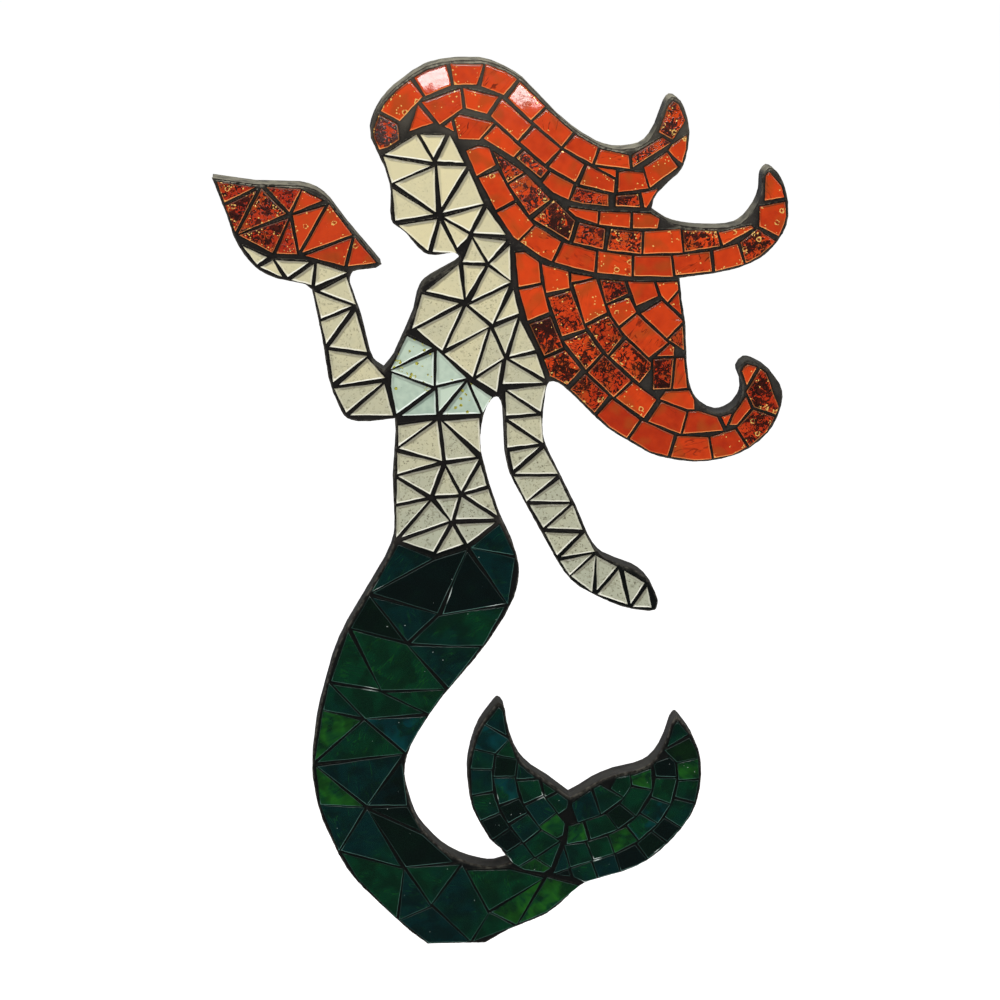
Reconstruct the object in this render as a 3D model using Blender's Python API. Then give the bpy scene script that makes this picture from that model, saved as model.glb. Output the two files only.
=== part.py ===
"""Glass mosaic wall panel: a flat board sawn to the outline of a mermaid, its front
covered with hand-cut glass set in dark grout. The hair is laid in courses that follow
its locks, and the skin, the top, the shell and the tail are laid in broken shards.

The front faces -Y, +Z is up, and the origin is the point on the board's flat back
where the panel hangs.
"""

import math

import bmesh
import bpy
import numpy as np
from mathutils import Vector
from mathutils.geometry import delaunay_2d_cdt

MM = 0.001

# Board, grout and glass
PANEL_HEIGHT = 600.0 * MM
BOARD_THICKNESS = 11.0 * MM
GROUT_THICKNESS = 2.9 * MM
GLASS_RISE = 0.8 * MM
TOUCH_GAP = 0.3 * MM
SHARE = PANEL_HEIGHT / 1000
HANG_HEIGHT = 700 * SHARE

# Setting of the glass: the joint between two pieces and the bare rim along the edge
COURSE_JOINT = 1.9 * MM
SKIN_JOINT = 2.6 * MM
SHELL_JOINT = 2.1 * MM
TAIL_JOINT = 1.6 * MM
NARROWEST_JOINT = 0.7 * MM
GROUT_RIM = 1.9 * MM
GROUT_BITE = 1.0 * MM
SMALLEST_EDGE = 0.6 * MM
SMALLEST_PIECE = 16.0 * MM * MM
WIDEST_BARE_SPOT = 4.6 * MM

# Courses: width across the course and length of a piece along it
CROWN_COURSE = 14.3 * MM
CROWN_LENGTH = 21.5 * MM
MIDDLE_COURSE = 15.2 * MM
MIDDLE_LENGTH = 22.5 * MM
LONG_COURSE = 16.5 * MM
LONG_LENGTH = 25.0 * MM
FLUKE_COURSE = 15.5 * MM
FLUKE_LENGTH = 16.0 * MM
LENGTH_SPREAD = 0.16
CUT_SKEW = 0.06
THINNEST_COURSE = 0.5
COURSE_STAGGER = (0.1, 0.9)
FILLER_HALF = 0.7

# Shards: mean side of the broken pieces of each field, drawn with the figure
SHELL_SHARD = 38.3 * SHARE
RAISED_ARM_SHARD = 37.5 * SHARE
FACE_SHARD = 39.5 * SHARE
CHEST_SHARD = 40.0 * SHARE
TOP_SHARD = 38.0 * SHARE
WAIST_SHARD = 37.5 * SHARE
LOWERED_ARM_SHARD = 35.0 * SHARE
TAIL_SHARD = 53.3 * SHARE
SHARD_SPREAD = 0.20
SHARD_EDGE_ROOM = 0.58
SHARD_TURN = math.radians(3.5)
SHARD_JOINT_SPREAD = 0.35
SHARD_CORNER_ROOM = 0.45
TAIL_QUAD_SHARE = 0.30

# Drawing of curves: step along a spline, and how far its chords may leave it
CURVE_STEP = 1.5 * MM
CURVE_TOLERANCE = 0.28 * MM
CORNER_TOLERANCE = 2.2 * MM
CORNER_TURN = math.radians(38)
GUIDE_SOFTENING = 10.0 * MM
GUIDE_RUN_ON = 60.0 * MM
CLOSEST_POINTS = 0.1 * MM
WELD_DISTANCE = 0.01 * MM
MITRE_LIMIT = 0.35
INSET_CLEAR = 0.97

# Free form: all points are in thousandths of the panel's height, across from the
# hanging point's vertical line (right positive) and up from the lowest point.
# The outline's stretches in clockwise order, each up to the first point of the next.
OUTLINE = {
    "shell_top": [(-288, 887), (-246, 880), (-197, 877), (-178, 868), (-152, 834)],
    "shell_base": [(-121, 795), (-127, 791), (-138, 790)],
    "forearm_inner": [(-150, 788), (-154, 779), (-150, 763), (-142, 738), (-136, 709), (-130, 690)],
    "bust_front": [(-120, 682), (-111, 693), (-103, 710)],
    "chest_front": [(-97, 723), (-88, 745), (-85, 760), (-80, 771), (-69, 780), (-55, 787)],
    "face_front": [(-41, 797), (-46, 805), (-66, 803), (-78, 806), (-98, 829), (-109, 837),
                   (-111, 848), (-110, 867), (-115, 891)],
    "crown_top": [(-123, 909), (-130, 928), (-125, 948), (-112, 967), (-94, 982), (-74, 994),
                  (-53, 999), (-33, 1000), (-12, 998), (20, 982), (42, 960), (66, 936),
                  (88, 920), (108, 910), (127, 908), (146, 913), (157, 928), (166, 953)],
    "crown_back": [(172, 960), (180, 957), (187, 943), (191, 924), (189, 902), (183, 885),
                   (169, 872), (157, 858)],
    "middle_top": [(154, 845), (176, 831), (213, 825), (245, 828), (261, 845), (267, 861),
                   (268, 879)],
    "middle_back": [(274, 886), (281, 883), (289, 871), (295, 850), (295, 829), (287, 811),
                    (271, 794), (248, 783), (220, 777)],
    "long_inner": [(185, 773), (188, 749), (192, 728), (194, 701), (196, 674), (201, 652),
                   (214, 633), (230, 625), (245, 630), (254, 642), (255, 656), (250, 672)],
    "long_outer": [(258, 682), (274, 677), (290, 663), (298, 646), (296, 627), (287, 606),
                   (270, 589), (249, 578), (216, 572), (190, 574), (161, 582), (140, 595),
                   (115, 611), (96, 629), (83, 643), (69, 657), (60, 664)],
    "arm_outer": [(51, 665), (46, 645), (45, 606), (57, 574), (73, 541), (87, 511), (99, 481),
                  (110, 467), (125, 459), (144, 451), (158, 440), (168, 424), (171, 412)],
    "arm_inner": [(168, 403), (154, 403), (131, 409), (99, 425), (81, 437), (67, 454),
                  (49, 488), (23, 538), (10, 565), (6, 581), (4, 615), (3, 635)],
    "bust_back": [(-2, 650), (-7, 650), (-13, 643)],
    "waist_back": [(-18, 630), (-21, 611), (-21, 594), (-12, 555), (-5, 532)],
    "tail_back": [(1, 514), (14, 484), (20, 455), (15, 425), (1, 396), (-20, 364), (-38, 341),
                  (-62, 312), (-84, 279), (-96, 258), (-104, 236), (-106, 215), (-98, 174),
                  (-91, 155), (-77, 135), (-62, 119), (-44, 107), (-27, 100), (-8, 96)],
    "fluke_left_outer": [(12, 101), (0, 120), (-11, 131), (-22, 151), (-31, 172), (-35, 192),
                         (-36, 222), (-31, 249), (-23, 271), (-11, 289)],
    "fluke_left_inner": [(-2, 299), (4, 294), (7, 276), (12, 254), (21, 231), (35, 214),
                         (54, 200), (70, 186)],
    "fluke_right_inner": [(78, 179), (89, 185), (106, 196), (128, 205), (149, 209), (167, 217),
                          (179, 233), (187, 254), (191, 268)],
    "fluke_right_outer": [(196, 273), (204, 264), (215, 247), (222, 229), (225, 208), (224, 184),
                          (218, 158), (206, 137), (187, 114), (166, 96), (138, 83), (114, 77)],
    "tail_belly": [(95, 71), (83, 62), (70, 48), (53, 34), (29, 24), (6, 14)],
    "tail_foot": [(-17, 0)],
    "tail_front": [(-83, 2), (-102, 19), (-132, 52), (-159, 84), (-174, 107), (-187, 137),
                   (-198, 167), (-205, 201), (-207, 230), (-200, 288), (-190, 327), (-181, 359),
                   (-167, 392), (-135, 447), (-121, 472)],
    "waist_front": [(-113, 494), (-112, 510), (-113, 560), (-111, 590), (-109, 612)],
    "forearm_outer": [(-110, 630), (-131, 628), (-148, 628), (-161, 633), (-171, 653),
                      (-178, 677), (-183, 718), (-188, 747)],
    "hand_under": [(-192, 770), (-199, 776), (-213, 779), (-228, 783), (-244, 791), (-257, 805)],
    "shell_left": [(-269, 827), (-274, 846), (-281, 866)],
}

# Stretches that begin at a sharp corner; the others run on from the one before.
SHARP_STARTS = {"shell_top", "shell_base", "bust_front", "middle_top", "long_inner",
                "fluke_left_outer", "fluke_right_inner", "tail_foot", "tail_front",
                "forearm_outer", "hand_under"}

# Points inside the figure where three fields of the mosaic meet
HAIRLINE = (-38, 911)
EAR = (11, 819)
FLUKE_ROOT = (56, 84)

# Borders inside the figure: start, points between, end. A name is the first point
# of that stretch of the outline.
SEAMS = {
    "shell_hand": ["shell_left", (-233, 806), (-196, 804), (-159, 792), "forearm_inner"],
    "arm_top": ["bust_front", (-114, 673), (-116, 652), "forearm_outer"],
    "hair_brow": ["crown_top", (-113, 912), (-76, 932), (-54, 930), HAIRLINE],
    "hair_cheek": [HAIRLINE, (-25, 880), (-12, 854), (3, 830), EAR],
    "hair_neck": [EAR, (13, 781), (21, 742), (33, 712), (44, 687), "arm_outer"],
    "face_neck": ["face_front", (-38, 816), (-30, 824), EAR],
    "chest_top": ["chest_front", (-84, 723), (-47, 687), (-17, 658), "bust_back"],
    "top_waist": ["forearm_outer", (-94, 626), (-56, 632), "waist_back"],
    "chest_arm": ["bust_back", (2, 660), (16, 664), "arm_outer"],
    "waist_tail": ["waist_front", (-107, 493), (-71, 475), (-34, 487), "tail_back"],
    "crown_middle": [HAIRLINE, (-21, 918), (0, 908), (29, 886), (53, 862), (75, 853),
                     (101, 848), (135, 846), "middle_top"],
    "middle_long": [EAR, (38, 798), (61, 788), (102, 778), (143, 773), "long_inner"],
    "fluke_root_left": ["fluke_left_outer", (24, 92), FLUKE_ROOT],
    "fluke_root_right": [FLUKE_ROOT, (80, 79), "tail_belly"],
    "fluke_split": ["fluke_right_inner", (72, 130), FLUKE_ROOT],
}
CURVED_SEAMS = {"hair_brow", "hair_cheek", "hair_neck", "crown_middle", "middle_long",
                "fluke_root_left", "fluke_root_right"}

# Borders of each field in clockwise order; a leading minus runs the border backwards.
FIELDS = {
    "shell": ["shell_top", "shell_base", "-shell_hand", "shell_left"],
    "raised_arm": ["forearm_inner", "arm_top", "forearm_outer", "hand_under", "shell_hand"],
    "face": ["face_front", "hair_brow", "hair_cheek", "-face_neck"],
    "chest": ["chest_front", "face_neck", "hair_neck", "-chest_arm", "-chest_top"],
    "top": ["bust_front", "chest_top", "bust_back", "-top_waist", "-arm_top"],
    "waist": ["top_waist", "waist_back", "-waist_tail", "waist_front"],
    "lowered_arm": ["arm_outer", "arm_inner", "chest_arm"],
    "hair": ["crown_top", "crown_back", "middle_top", "middle_back", "long_inner",
             "long_outer", "-hair_neck", "-hair_cheek", "-hair_brow"],
    "tail": ["tail_back", "fluke_left_outer", "fluke_left_inner", "fluke_right_inner",
             "fluke_right_outer", "tail_belly", "tail_foot", "tail_front", "waist_tail"],
    "crown_lock": ["crown_top", "crown_back", "-crown_middle", "-hair_brow"],
    "middle_lock": ["crown_middle", "middle_top", "middle_back", "-middle_long", "-hair_cheek"],
    "long_lock": ["middle_long", "long_inner", "long_outer", "-hair_neck"],
    "tail_body": ["tail_back", "fluke_root_left", "fluke_root_right", "tail_belly",
                  "tail_foot", "tail_front", "waist_tail"],
    "fluke_left": ["fluke_left_outer", "fluke_left_inner", "fluke_split", "-fluke_root_left"],
    "fluke_right": ["fluke_right_inner", "fluke_right_outer", "-fluke_root_right",
                    "-fluke_split"],
}

# Edges that the courses of a lock or lobe run along
GUIDES = {
    "crown_lock": ["crown_top"],
    "middle_lock": ["middle_back", "-middle_long", "-hair_cheek"],
    "long_lock": ["hair_neck", "-long_outer"],
    "fluke_left": ["fluke_left_outer"],
    "fluke_right": ["fluke_right_outer"],
}

# Colours as seen, 0 to 255, and roughness
PAINT = ((52, 50, 49), 0.55)
GROUT = ((58, 55, 52), 0.85)
RED_GLASS = ((206, 58, 22), 0.14)
HAIR_GLASS = ((204, 62, 20), 0.14)
SKIN_GLASS = ((203, 194, 152), 0.22)
AQUA_GLASS = ((178, 202, 188), 0.18)
TAIL_GLASS = ((14, 52, 40), 0.10)


# Curves in the panel's plane

def spline(points):
    """Points along a centripetal curve through the given points."""
    points = np.asarray(points, float)
    before = 2 * points[0] - points[1]
    after = 2 * points[-1] - points[-2]
    knots = np.vstack([before, points, after])
    drawn = [points[:1]]
    for p0, p1, p2, p3 in zip(knots, knots[1:], knots[2:], knots[3:]):
        gaps = [max(math.dist(a, b), 1e-9) ** 0.5 for a, b in ((p0, p1), (p1, p2), (p2, p3))]
        t1 = gaps[0]
        t2 = t1 + gaps[1]
        t3 = t2 + gaps[2]
        steps = max(1, math.ceil(math.dist(p1, p2) / CURVE_STEP))
        t = np.linspace(t1, t2, steps + 1)[1:, None]
        a1 = (t1 - t) / t1 * p0 + t / t1 * p1
        a2 = (t2 - t) / (t2 - t1) * p1 + (t - t1) / (t2 - t1) * p2
        a3 = (t3 - t) / (t3 - t2) * p2 + (t - t2) / (t3 - t2) * p3
        b1 = (t2 - t) / t2 * a1 + t / t2 * a2
        b2 = (t3 - t) / (t3 - t1) * a2 + (t - t1) / (t3 - t1) * a3
        drawn.append((t2 - t) / (t2 - t1) * b1 + (t - t1) / (t2 - t1) * b2)
    return np.vstack(drawn)


def to_metres(point):
    """A point in thousandths of the height as metres from the hanging point."""
    return np.array([point[0] * SHARE, point[1] * SHARE - HANG_HEIGHT])


def outline_stretches():
    """Each stretch of the outline as a dense polyline that ends where the next starts."""
    names = list(OUTLINE)
    first = names.index(next(name for name in names if name in SHARP_STARTS))
    names = names[first:] + names[:first]
    chains = []
    for name in names:
        if name in SHARP_STARTS:
            chains.append([])
        chains[-1].append(name)
    stretches = {}
    for chain, following in zip(chains, chains[1:] + chains[:1]):
        knots, owners = [], []
        for name in chain:
            knots += [to_metres(p) for p in OUTLINE[name]]
            owners += [name] * len(OUTLINE[name])
        knots.append(to_metres(OUTLINE[following[0]][0]))
        curve = spline(knots)
        starts = [0]
        for a, b in zip(knots, knots[1:]):
            starts.append(starts[-1] + max(1, math.ceil(math.dist(a, b) / CURVE_STEP)))
        for name in chain:
            mine = [i for i, owner in enumerate(owners) if owner == name]
            stretches[name] = curve[starts[mine[0]]:starts[mine[-1] + 1] + 1]
    return stretches


def seam_lines():
    """Each inner border as a dense polyline between its two end points."""
    lines = {}
    for name, knots in SEAMS.items():
        points = [to_metres(OUTLINE[k][0] if isinstance(k, str) else k) for k in knots]
        lines[name] = spline(points) if name in CURVED_SEAMS else np.array(points)
    return lines


def join_borders(names, borders):
    """One polyline from several borders, a leading minus running one backwards."""
    pieces = []
    for name in names:
        line = borders[name.lstrip("-")]
        line = line[::-1] if name.startswith("-") else line
        pieces.append(line[:-1])
    return np.vstack(pieces + [line[-1:]])


def decimate(points, tolerance):
    """An open polyline with only the points needed to stay within the tolerance."""
    keep = {0, len(points) - 1}
    spans = [(0, len(points) - 1)]
    while spans:
        a, b = spans.pop()
        if b - a < 2:
            continue
        middle = points[a + 1:b]
        far = distance_to_segments(middle, points[a:a + 1], points[b:b + 1])
        worst = int(far.argmax())
        if far[worst] > tolerance:
            keep.add(a + 1 + worst)
            spans += [(a, a + 1 + worst), (a + 1 + worst, b)]
    return np.array(sorted(keep))


def all_borders():
    """Every border by name, thinned once, so that neighbours share the same points."""
    dense = {**outline_stretches(), **seam_lines()}
    return {name: line[decimate(line, CURVE_TOLERANCE)] for name, line in dense.items()}


def loop_of(names, borders):
    """The closed border of a field."""
    return join_borders(names, borders)[:-1]


def distance_to_segments(points, starts, ends):
    """The least distance from each point to any of the segments."""
    along = ends - starts
    length2 = np.maximum((along ** 2).sum(1), 1e-18)
    offset = points[:, None] - starts[None]
    share = np.clip((offset * along[None]).sum(2) / length2, 0, 1)
    nearest = starts[None] + share[..., None] * along[None]
    return np.sqrt(((points[:, None] - nearest) ** 2).sum(2)).min(1)


def border_distance(points, loop):
    return distance_to_segments(points, loop, np.roll(loop, -1, 0))


def inside(points, loop):
    """Which points lie inside a closed loop, by counting crossings."""
    x, y = points[:, 0, None], points[:, 1, None]
    x1, y1 = loop[:, 0], loop[:, 1]
    x2, y2 = np.roll(x1, -1), np.roll(y1, -1)
    rise = np.where(y2 == y1, 1e-18, y2 - y1)
    crossing = ((y1 > y) != (y2 > y)) & (x < (x2 - x1) * (y - y1) / rise + x1)
    return crossing.sum(1) % 2 == 1


def signed_area(loop):
    x, y = loop.T
    return 0.5 * float(np.sum(x * np.roll(y, -1) - np.roll(x, -1) * y))


def inset_loop(loop, margin):
    """The loop moved inwards by the margin, without the points that came too near."""
    loop = loop if signed_area(loop) > 0 else loop[::-1]
    forward = np.roll(loop, -1, 0) - loop
    forward /= np.linalg.norm(forward, axis=1)[:, None]
    normal = np.stack([-forward[:, 1], forward[:, 0]], 1)
    both = normal + np.roll(normal, 1, 0)
    reach = np.maximum((both ** 2).sum(1), MITRE_LIMIT)
    moved = loop + both * (2 * margin / reach)[:, None]
    clear = border_distance(moved, loop) > INSET_CLEAR * margin
    return moved[clear & inside(moved, loop)]


# Pieces of glass as convex polygons, corners anticlockwise

def clip_by_line(polygon, point, inward):
    """The part of a polygon on the inward side of a line through the point."""
    side = (polygon - point) @ inward
    kept = []
    for i, here in enumerate(polygon):
        j = (i + 1) % len(polygon)
        if side[i] >= 0:
            kept.append(here)
        if (side[i] > 0) != (side[j] > 0) and side[i] != side[j]:
            kept.append(here + (polygon[j] - here) * side[i] / (side[i] - side[j]))
    return np.array(kept) if len(kept) > 2 else None


def edge_lines(polygon):
    """Start and unit inward normal of each edge of an anticlockwise polygon."""
    along = np.roll(polygon, -1, 0) - polygon
    along /= np.linalg.norm(along, axis=1)[:, None]
    return zip(polygon, np.stack([-along[:, 1], along[:, 0]], 1))


def convex_hull(points):
    """Anticlockwise hull by the monotone chain."""
    ordered = sorted(map(tuple, points))
    halves = []
    for run in (ordered, ordered[::-1]):
        half = []
        for p in run:
            while len(half) > 1:
                (ax, ay), (bx, by) = half[-2], half[-1]
                if (bx - ax) * (p[1] - ay) - (by - ay) * (p[0] - ax) > 0:
                    break
                half.pop()
            half.append(p)
        halves += half[:-1]
    return np.array(halves)


def few_corners(polygon):
    """The polygon without edges too short to cut, or none if too little is left."""
    while polygon is not None and len(polygon) > 3:
        ends = np.roll(polygon, -1, 0)
        length = np.linalg.norm(ends - polygon, axis=1)
        before, after = np.roll(polygon, 1, 0), ends
        bulge = distance_from_chords(polygon, before, after)
        i = int(length.argmin())
        if length[i] < SMALLEST_EDGE:
            polygon = np.delete(polygon, (i + 1) % len(polygon), 0)
        elif bulge.min() < SMALLEST_EDGE:
            polygon = np.delete(polygon, int(bulge.argmin()), 0)
        else:
            break
    if polygon is None or len(polygon) < 3 or abs(signed_area(polygon)) < SMALLEST_PIECE:
        return None
    return polygon


def distance_from_chords(points, starts, ends):
    """Distance of each point from the line through its own start and end."""
    along = ends - starts
    cross = along[:, 0] * (points - starts)[:, 1] - along[:, 1] * (points - starts)[:, 0]
    return np.abs(cross) / np.maximum(np.linalg.norm(along, axis=1), 1e-9)


def shrink(polygon, margin, spread=0, rng=None):
    """The polygon with every edge moved inwards, or none if it vanishes."""
    smaller = polygon
    for point, inward in edge_lines(polygon):
        depth = margin * (1 + spread * rng.uniform(-1, 1)) if spread else margin
        smaller = clip_by_line(smaller, point + inward * depth, inward)
        if smaller is None:
            return None
    return few_corners(smaller)


def grow(polygon, margin):
    """The polygon with every edge moved outwards."""
    wide = []
    lines = [(p - n * margin, n) for p, n in edge_lines(polygon)]
    for (p1, n1), (p2, n2) in zip(lines[-1:] + lines[:-1], lines):
        wide.append(np.linalg.solve(np.array([n1, n2]), [n1 @ p1, n2 @ p2]))
    return np.array(wide)


def trim_to(polygon, loop):
    """The convex outline of what the field leaves of a piece."""
    part = loop
    for point, inward in edge_lines(polygon):
        part = clip_by_line(part, point, inward)
        if part is None:
            return None
    return cut_to_field(few_corners(convex_hull(part)), loop)


def overlap(a, b):
    """Whether two convex pieces cover some of the same ground."""
    for one, other in ((a, b), (b, a)):
        for point, inward in edge_lines(one):
            if ((other - point) @ inward).max() <= 0:
                return False
    return True


def largest_cut(piece, lines):
    """What the kindest of several straight cuts leaves of a piece."""
    cuts = [few_corners(clip_by_line(piece, point, inward)) for point, inward in lines]
    cuts = [cut for cut in cuts if cut is not None]
    return max(cuts, key=signed_area) if cuts else None


def cut_clear(piece, laid):
    """The piece cut along the edges of those already laid that it would cover."""
    for other in laid:
        if piece is not None and overlap(piece, other):
            piece = largest_cut(piece, [(point, -inward) for point, inward in edge_lines(other)])
    return piece


def cut_to_field(piece, loop):
    """The piece cut straight wherever a corner of the field's border reaches into it."""
    while piece is not None:
        lines = list(edge_lines(piece))
        depth = np.min([(loop - point) @ inward for point, inward in lines], axis=0)
        i = int(depth.argmax())
        if depth[i] < SMALLEST_EDGE / 2:
            return piece
        before, here, after = loop[i - 1], loop[i], loop[(i + 1) % len(loop)]
        sides = [(before - here) * -1, after - here]
        cuts = [np.array([-d[1], d[0]]) / np.linalg.norm(d) for d in sides]
        piece = largest_cut(piece, [(here, inward) for inward in cuts])
    return piece


# Laying the mosaic

def soft_guide(line, loop):
    """An edge evenly sampled, smoothed and run on, with the unit normal into the loop."""
    ends = [(line[0], line[0] - line[1]), (line[-1], line[-1] - line[-2])]
    start, end = [p + GUIDE_RUN_ON * d / np.linalg.norm(d) for p, d in ends]
    line = np.vstack([start, line, end])
    steps = np.linalg.norm(np.diff(line, axis=0), axis=1)
    along = np.concatenate([[0], steps.cumsum()])
    even = np.linspace(0, along[-1], int(along[-1] / CURVE_STEP) + 1)
    line = np.stack([np.interp(even, along, line[:, k]) for k in (0, 1)], 1)
    reach = int(2 * GUIDE_SOFTENING / CURVE_STEP)
    weight = np.exp(-0.5 * (np.arange(-reach, reach + 1) * CURVE_STEP / GUIDE_SOFTENING) ** 2)
    weight /= weight.sum()
    ends = [2 * line[0] - line[reach:0:-1], line, 2 * line[-1] - line[-2:-reach - 2:-1]]
    padded = np.vstack(ends)
    line = np.stack([np.convolve(padded[:, k], weight, "valid") for k in (0, 1)], 1)
    tangent = np.gradient(line, axis=0)
    tangent /= np.linalg.norm(tangent, axis=1)[:, None]
    normal = np.stack([tangent[:, 1], -tangent[:, 0]], 1)
    inner, outer = [inside(line + side * GUIDE_SOFTENING * normal, loop).sum() for side in (1, -1)]
    return line, normal if inner > outer else -normal


def room_from(line, normal, loop, reach):
    """How far the field runs inwards from each point of its guide."""
    depths = np.arange(CURVE_STEP, reach, CURVE_STEP / 2)
    points = line[:, None] + depths[None, :, None] * normal[:, None]
    within = inside(points.reshape(-1, 2), loop).reshape(len(line), -1)
    entered = np.maximum.accumulate(within, axis=1)
    left = entered & ~within
    first = np.where(left.any(1), left.argmax(1), len(depths) - 1)
    return np.where(entered.any(1), depths[first], 0)


def lay_courses(loop, guide, width, length, joint, seed):
    """Pieces in courses side by side from the guide inwards, joints staggered.

    Where too little would be left for another course, the last one is cut wider.
    """
    rng = np.random.default_rng(seed)
    line, normal = soft_guide(guide, loop)
    reach = np.linalg.norm(np.ptp(loop, axis=0))
    room = room_from(line, normal, loop, reach)
    laid = []
    for course in range(int(reach / width)):
        inner, outer = course * width, (course + 1) * width
        edge = inner - GUIDE_SOFTENING / 2 if course == 0 else inner
        middle = line + normal * (inner + outer) / 2
        along = np.concatenate([[0], np.linalg.norm(np.diff(middle, axis=0), axis=1).cumsum()])
        turned = (np.gradient(middle, axis=0) * np.gradient(line, axis=0)).sum(1) < 0
        here = -rng.uniform(*COURSE_STAGGER) * length
        found = 0
        while here < along[-1]:
            step = length * (1 + LENGTH_SPREAD * rng.uniform(-1, 1))
            skew = CUT_SKEW * length * rng.uniform(-1, 1, 4)
            places = np.clip([here, here + step, here + step, here] + skew, 0, along[-1])
            here += step
            index = np.interp(places, along, np.arange(len(along)))
            end = np.interp(index[2:], np.arange(len(line)), room)
            last = end < outer + THINNEST_COURSE * width
            end = np.where(last, np.clip(end, outer, outer + THINNEST_COURSE * width), outer)
            depth = np.array([edge, edge, end[0], end[1]])
            base = np.stack([np.interp(index, np.arange(len(line)), line[:, k]) for k in (0, 1)], 1)
            lean = np.stack([np.interp(index, np.arange(len(line)), normal[:, k]) for k in (0, 1)], 1)
            corners = base + lean * depth[:, None]
            if turned[int(index[0])] or turned[int(index[1])]:
                continue
            piece = cut_clear(trim_to(convex_hull(corners), loop), laid)
            if piece is not None:
                found += 1
                laid.append(piece)
        if not found and course:
            break
    laid += fill_bare_spots(loop, laid, width)
    cut = [shrink(piece, joint / 2) for piece in laid]
    return [piece for piece in cut if piece is not None]


def fill_bare_spots(loop, laid, side):
    """Odd pieces cut to fit where the courses leave the field bare."""
    low, high = loop.min(0), loop.max(0)
    rows = [np.arange(a, b, WIDEST_BARE_SPOT / 2) for a, b in zip(low, high)]
    spots = np.stack(np.meshgrid(*rows), -1).reshape(-1, 2)
    spots = spots[inside(spots, loop)]
    fillers = []
    while len(spots):
        bare = border_distance(spots, loop)
        for piece in laid + fillers:
            bare = np.minimum(bare, np.where(inside(spots, piece), 0, border_distance(spots, piece)))
        spots = spots[bare > WIDEST_BARE_SPOT / 2]
        bare = bare[bare > WIDEST_BARE_SPOT / 2]
        if not len(spots):
            break
        centre = spots[int(bare.argmax())]
        spots = np.delete(spots, int(bare.argmax()), 0)
        corners = np.array([[-1, -1], [1, -1], [1, 1], [-1, 1]])
        piece = centre + side * FILLER_HALF * corners
        for other in laid + fillers:
            if piece is not None and overlap(piece, other):
                lines = [(point, -inward) for point, inward in edge_lines(other)
                         if (centre - point) @ inward < 0]
                piece = largest_cut(piece, lines)
        piece = None if piece is None else trim_to(piece, loop)
        if piece is not None:
            fillers.append(piece)
    return fillers


def border_nodes(loop, side, rng):
    """Corners of the loop, and points between them about a side apart."""
    closed = np.vstack([loop, loop[:1]])
    coarse = decimate(closed, CORNER_TOLERANCE)[:-1]
    shape = loop[coarse]
    before = shape - np.roll(shape, 1, 0)
    after = np.roll(shape, -1, 0) - shape
    turn = np.abs(np.arctan2(before[:, 0] * after[:, 1] - before[:, 1] * after[:, 0],
                             (before * after).sum(1)))
    length = np.linalg.norm(np.roll(loop, -1, 0) - loop, axis=1)
    place = np.concatenate([[0], length.cumsum()])
    corners = []
    for i in coarse[np.argsort(-turn)][:int((turn > CORNER_TURN).sum())]:
        apart = [abs(place[i] - place[j]) for j in corners]
        apart = [min(d, place[-1] - d) for d in apart]
        if min(apart, default=side) > SHARD_CORNER_ROOM * side:
            corners.append(int(i))
    corners = np.array(sorted(corners) or [0])
    nodes = []
    for a, b in zip(corners, np.append(corners[1:], corners[0] + len(loop))):
        run = loop[np.arange(a, b + 1) % len(loop)]
        along = np.concatenate([[0], np.linalg.norm(np.diff(run, axis=0), axis=1).cumsum()])
        count = max(1, round(along[-1] / side))
        cuts = np.arange(count) / count
        cuts[1:] += rng.uniform(-SHARD_SPREAD, SHARD_SPREAD, count - 1) / count
        nodes.append(np.stack([np.interp(cuts * along[-1], along, run[:, k]) for k in (0, 1)], 1))
    return np.vstack(nodes)


def inner_nodes(loop, side, rng):
    """Points of a loose triangular lattice that keep clear of the loop."""
    low, high = loop.min(0), loop.max(0)
    rise = side * math.sqrt(3) / 2
    rows = np.arange(low[1], high[1], rise)
    grid = [(x + (row % 2) * side / 2, y) for row, y in enumerate(rows)
            for x in np.arange(low[0], high[0], side)]
    grid = np.array(grid) + rng.uniform(-1, 1, (len(grid), 2)) * SHARD_SPREAD * side
    grid = grid[inside(grid, loop)]
    return grid[border_distance(grid, loop) > SHARD_EDGE_ROOM * side] if len(grid) else grid


def lay_shards(loop, side, joint, seed, quad_share=0):
    """Triangles between loose points, some of them kept joined in fours."""
    rng = np.random.default_rng(seed)
    border = border_nodes(loop, side, rng)
    nodes = np.vstack([border, inner_nodes(loop, side, rng)])
    ring = list(range(len(border)))
    verts, _, faces, *_ = delaunay_2d_cdt([Vector(p) for p in nodes], [], [ring], 1, 1e-7)
    verts = np.array([v[:] for v in verts])
    faces = [list(face) for face in faces]
    pairs = {}
    for i, face in enumerate(faces):
        for a, b in zip(face, face[1:] + face[:1]):
            pairs.setdefault(frozenset((a, b)), []).append(i)
    shards, used = [], set()
    for edge, owners in pairs.items():
        if len(owners) < 2 or used & set(owners) or rng.uniform() > quad_share:
            continue
        four = convex_hull(verts[list({v for i in owners for v in faces[i]})])
        if len(four) == 4:
            shards.append(four)
            used |= set(owners)
    shards += [convex_hull(verts[face]) for i, face in enumerate(faces) if i not in used]
    cut = []
    for shard in shards:
        piece = shrink(shard, joint / 2, SHARD_JOINT_SPREAD, rng)
        piece = None if piece is None else trim_to(turned(piece, rng), loop)
        for point, inward in edge_lines(shard):
            edge = point + inward * NARROWEST_JOINT / 2
            piece = None if piece is None else few_corners(clip_by_line(piece, edge, inward))
        if piece is not None:
            cut.append(piece)
    return cut


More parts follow.
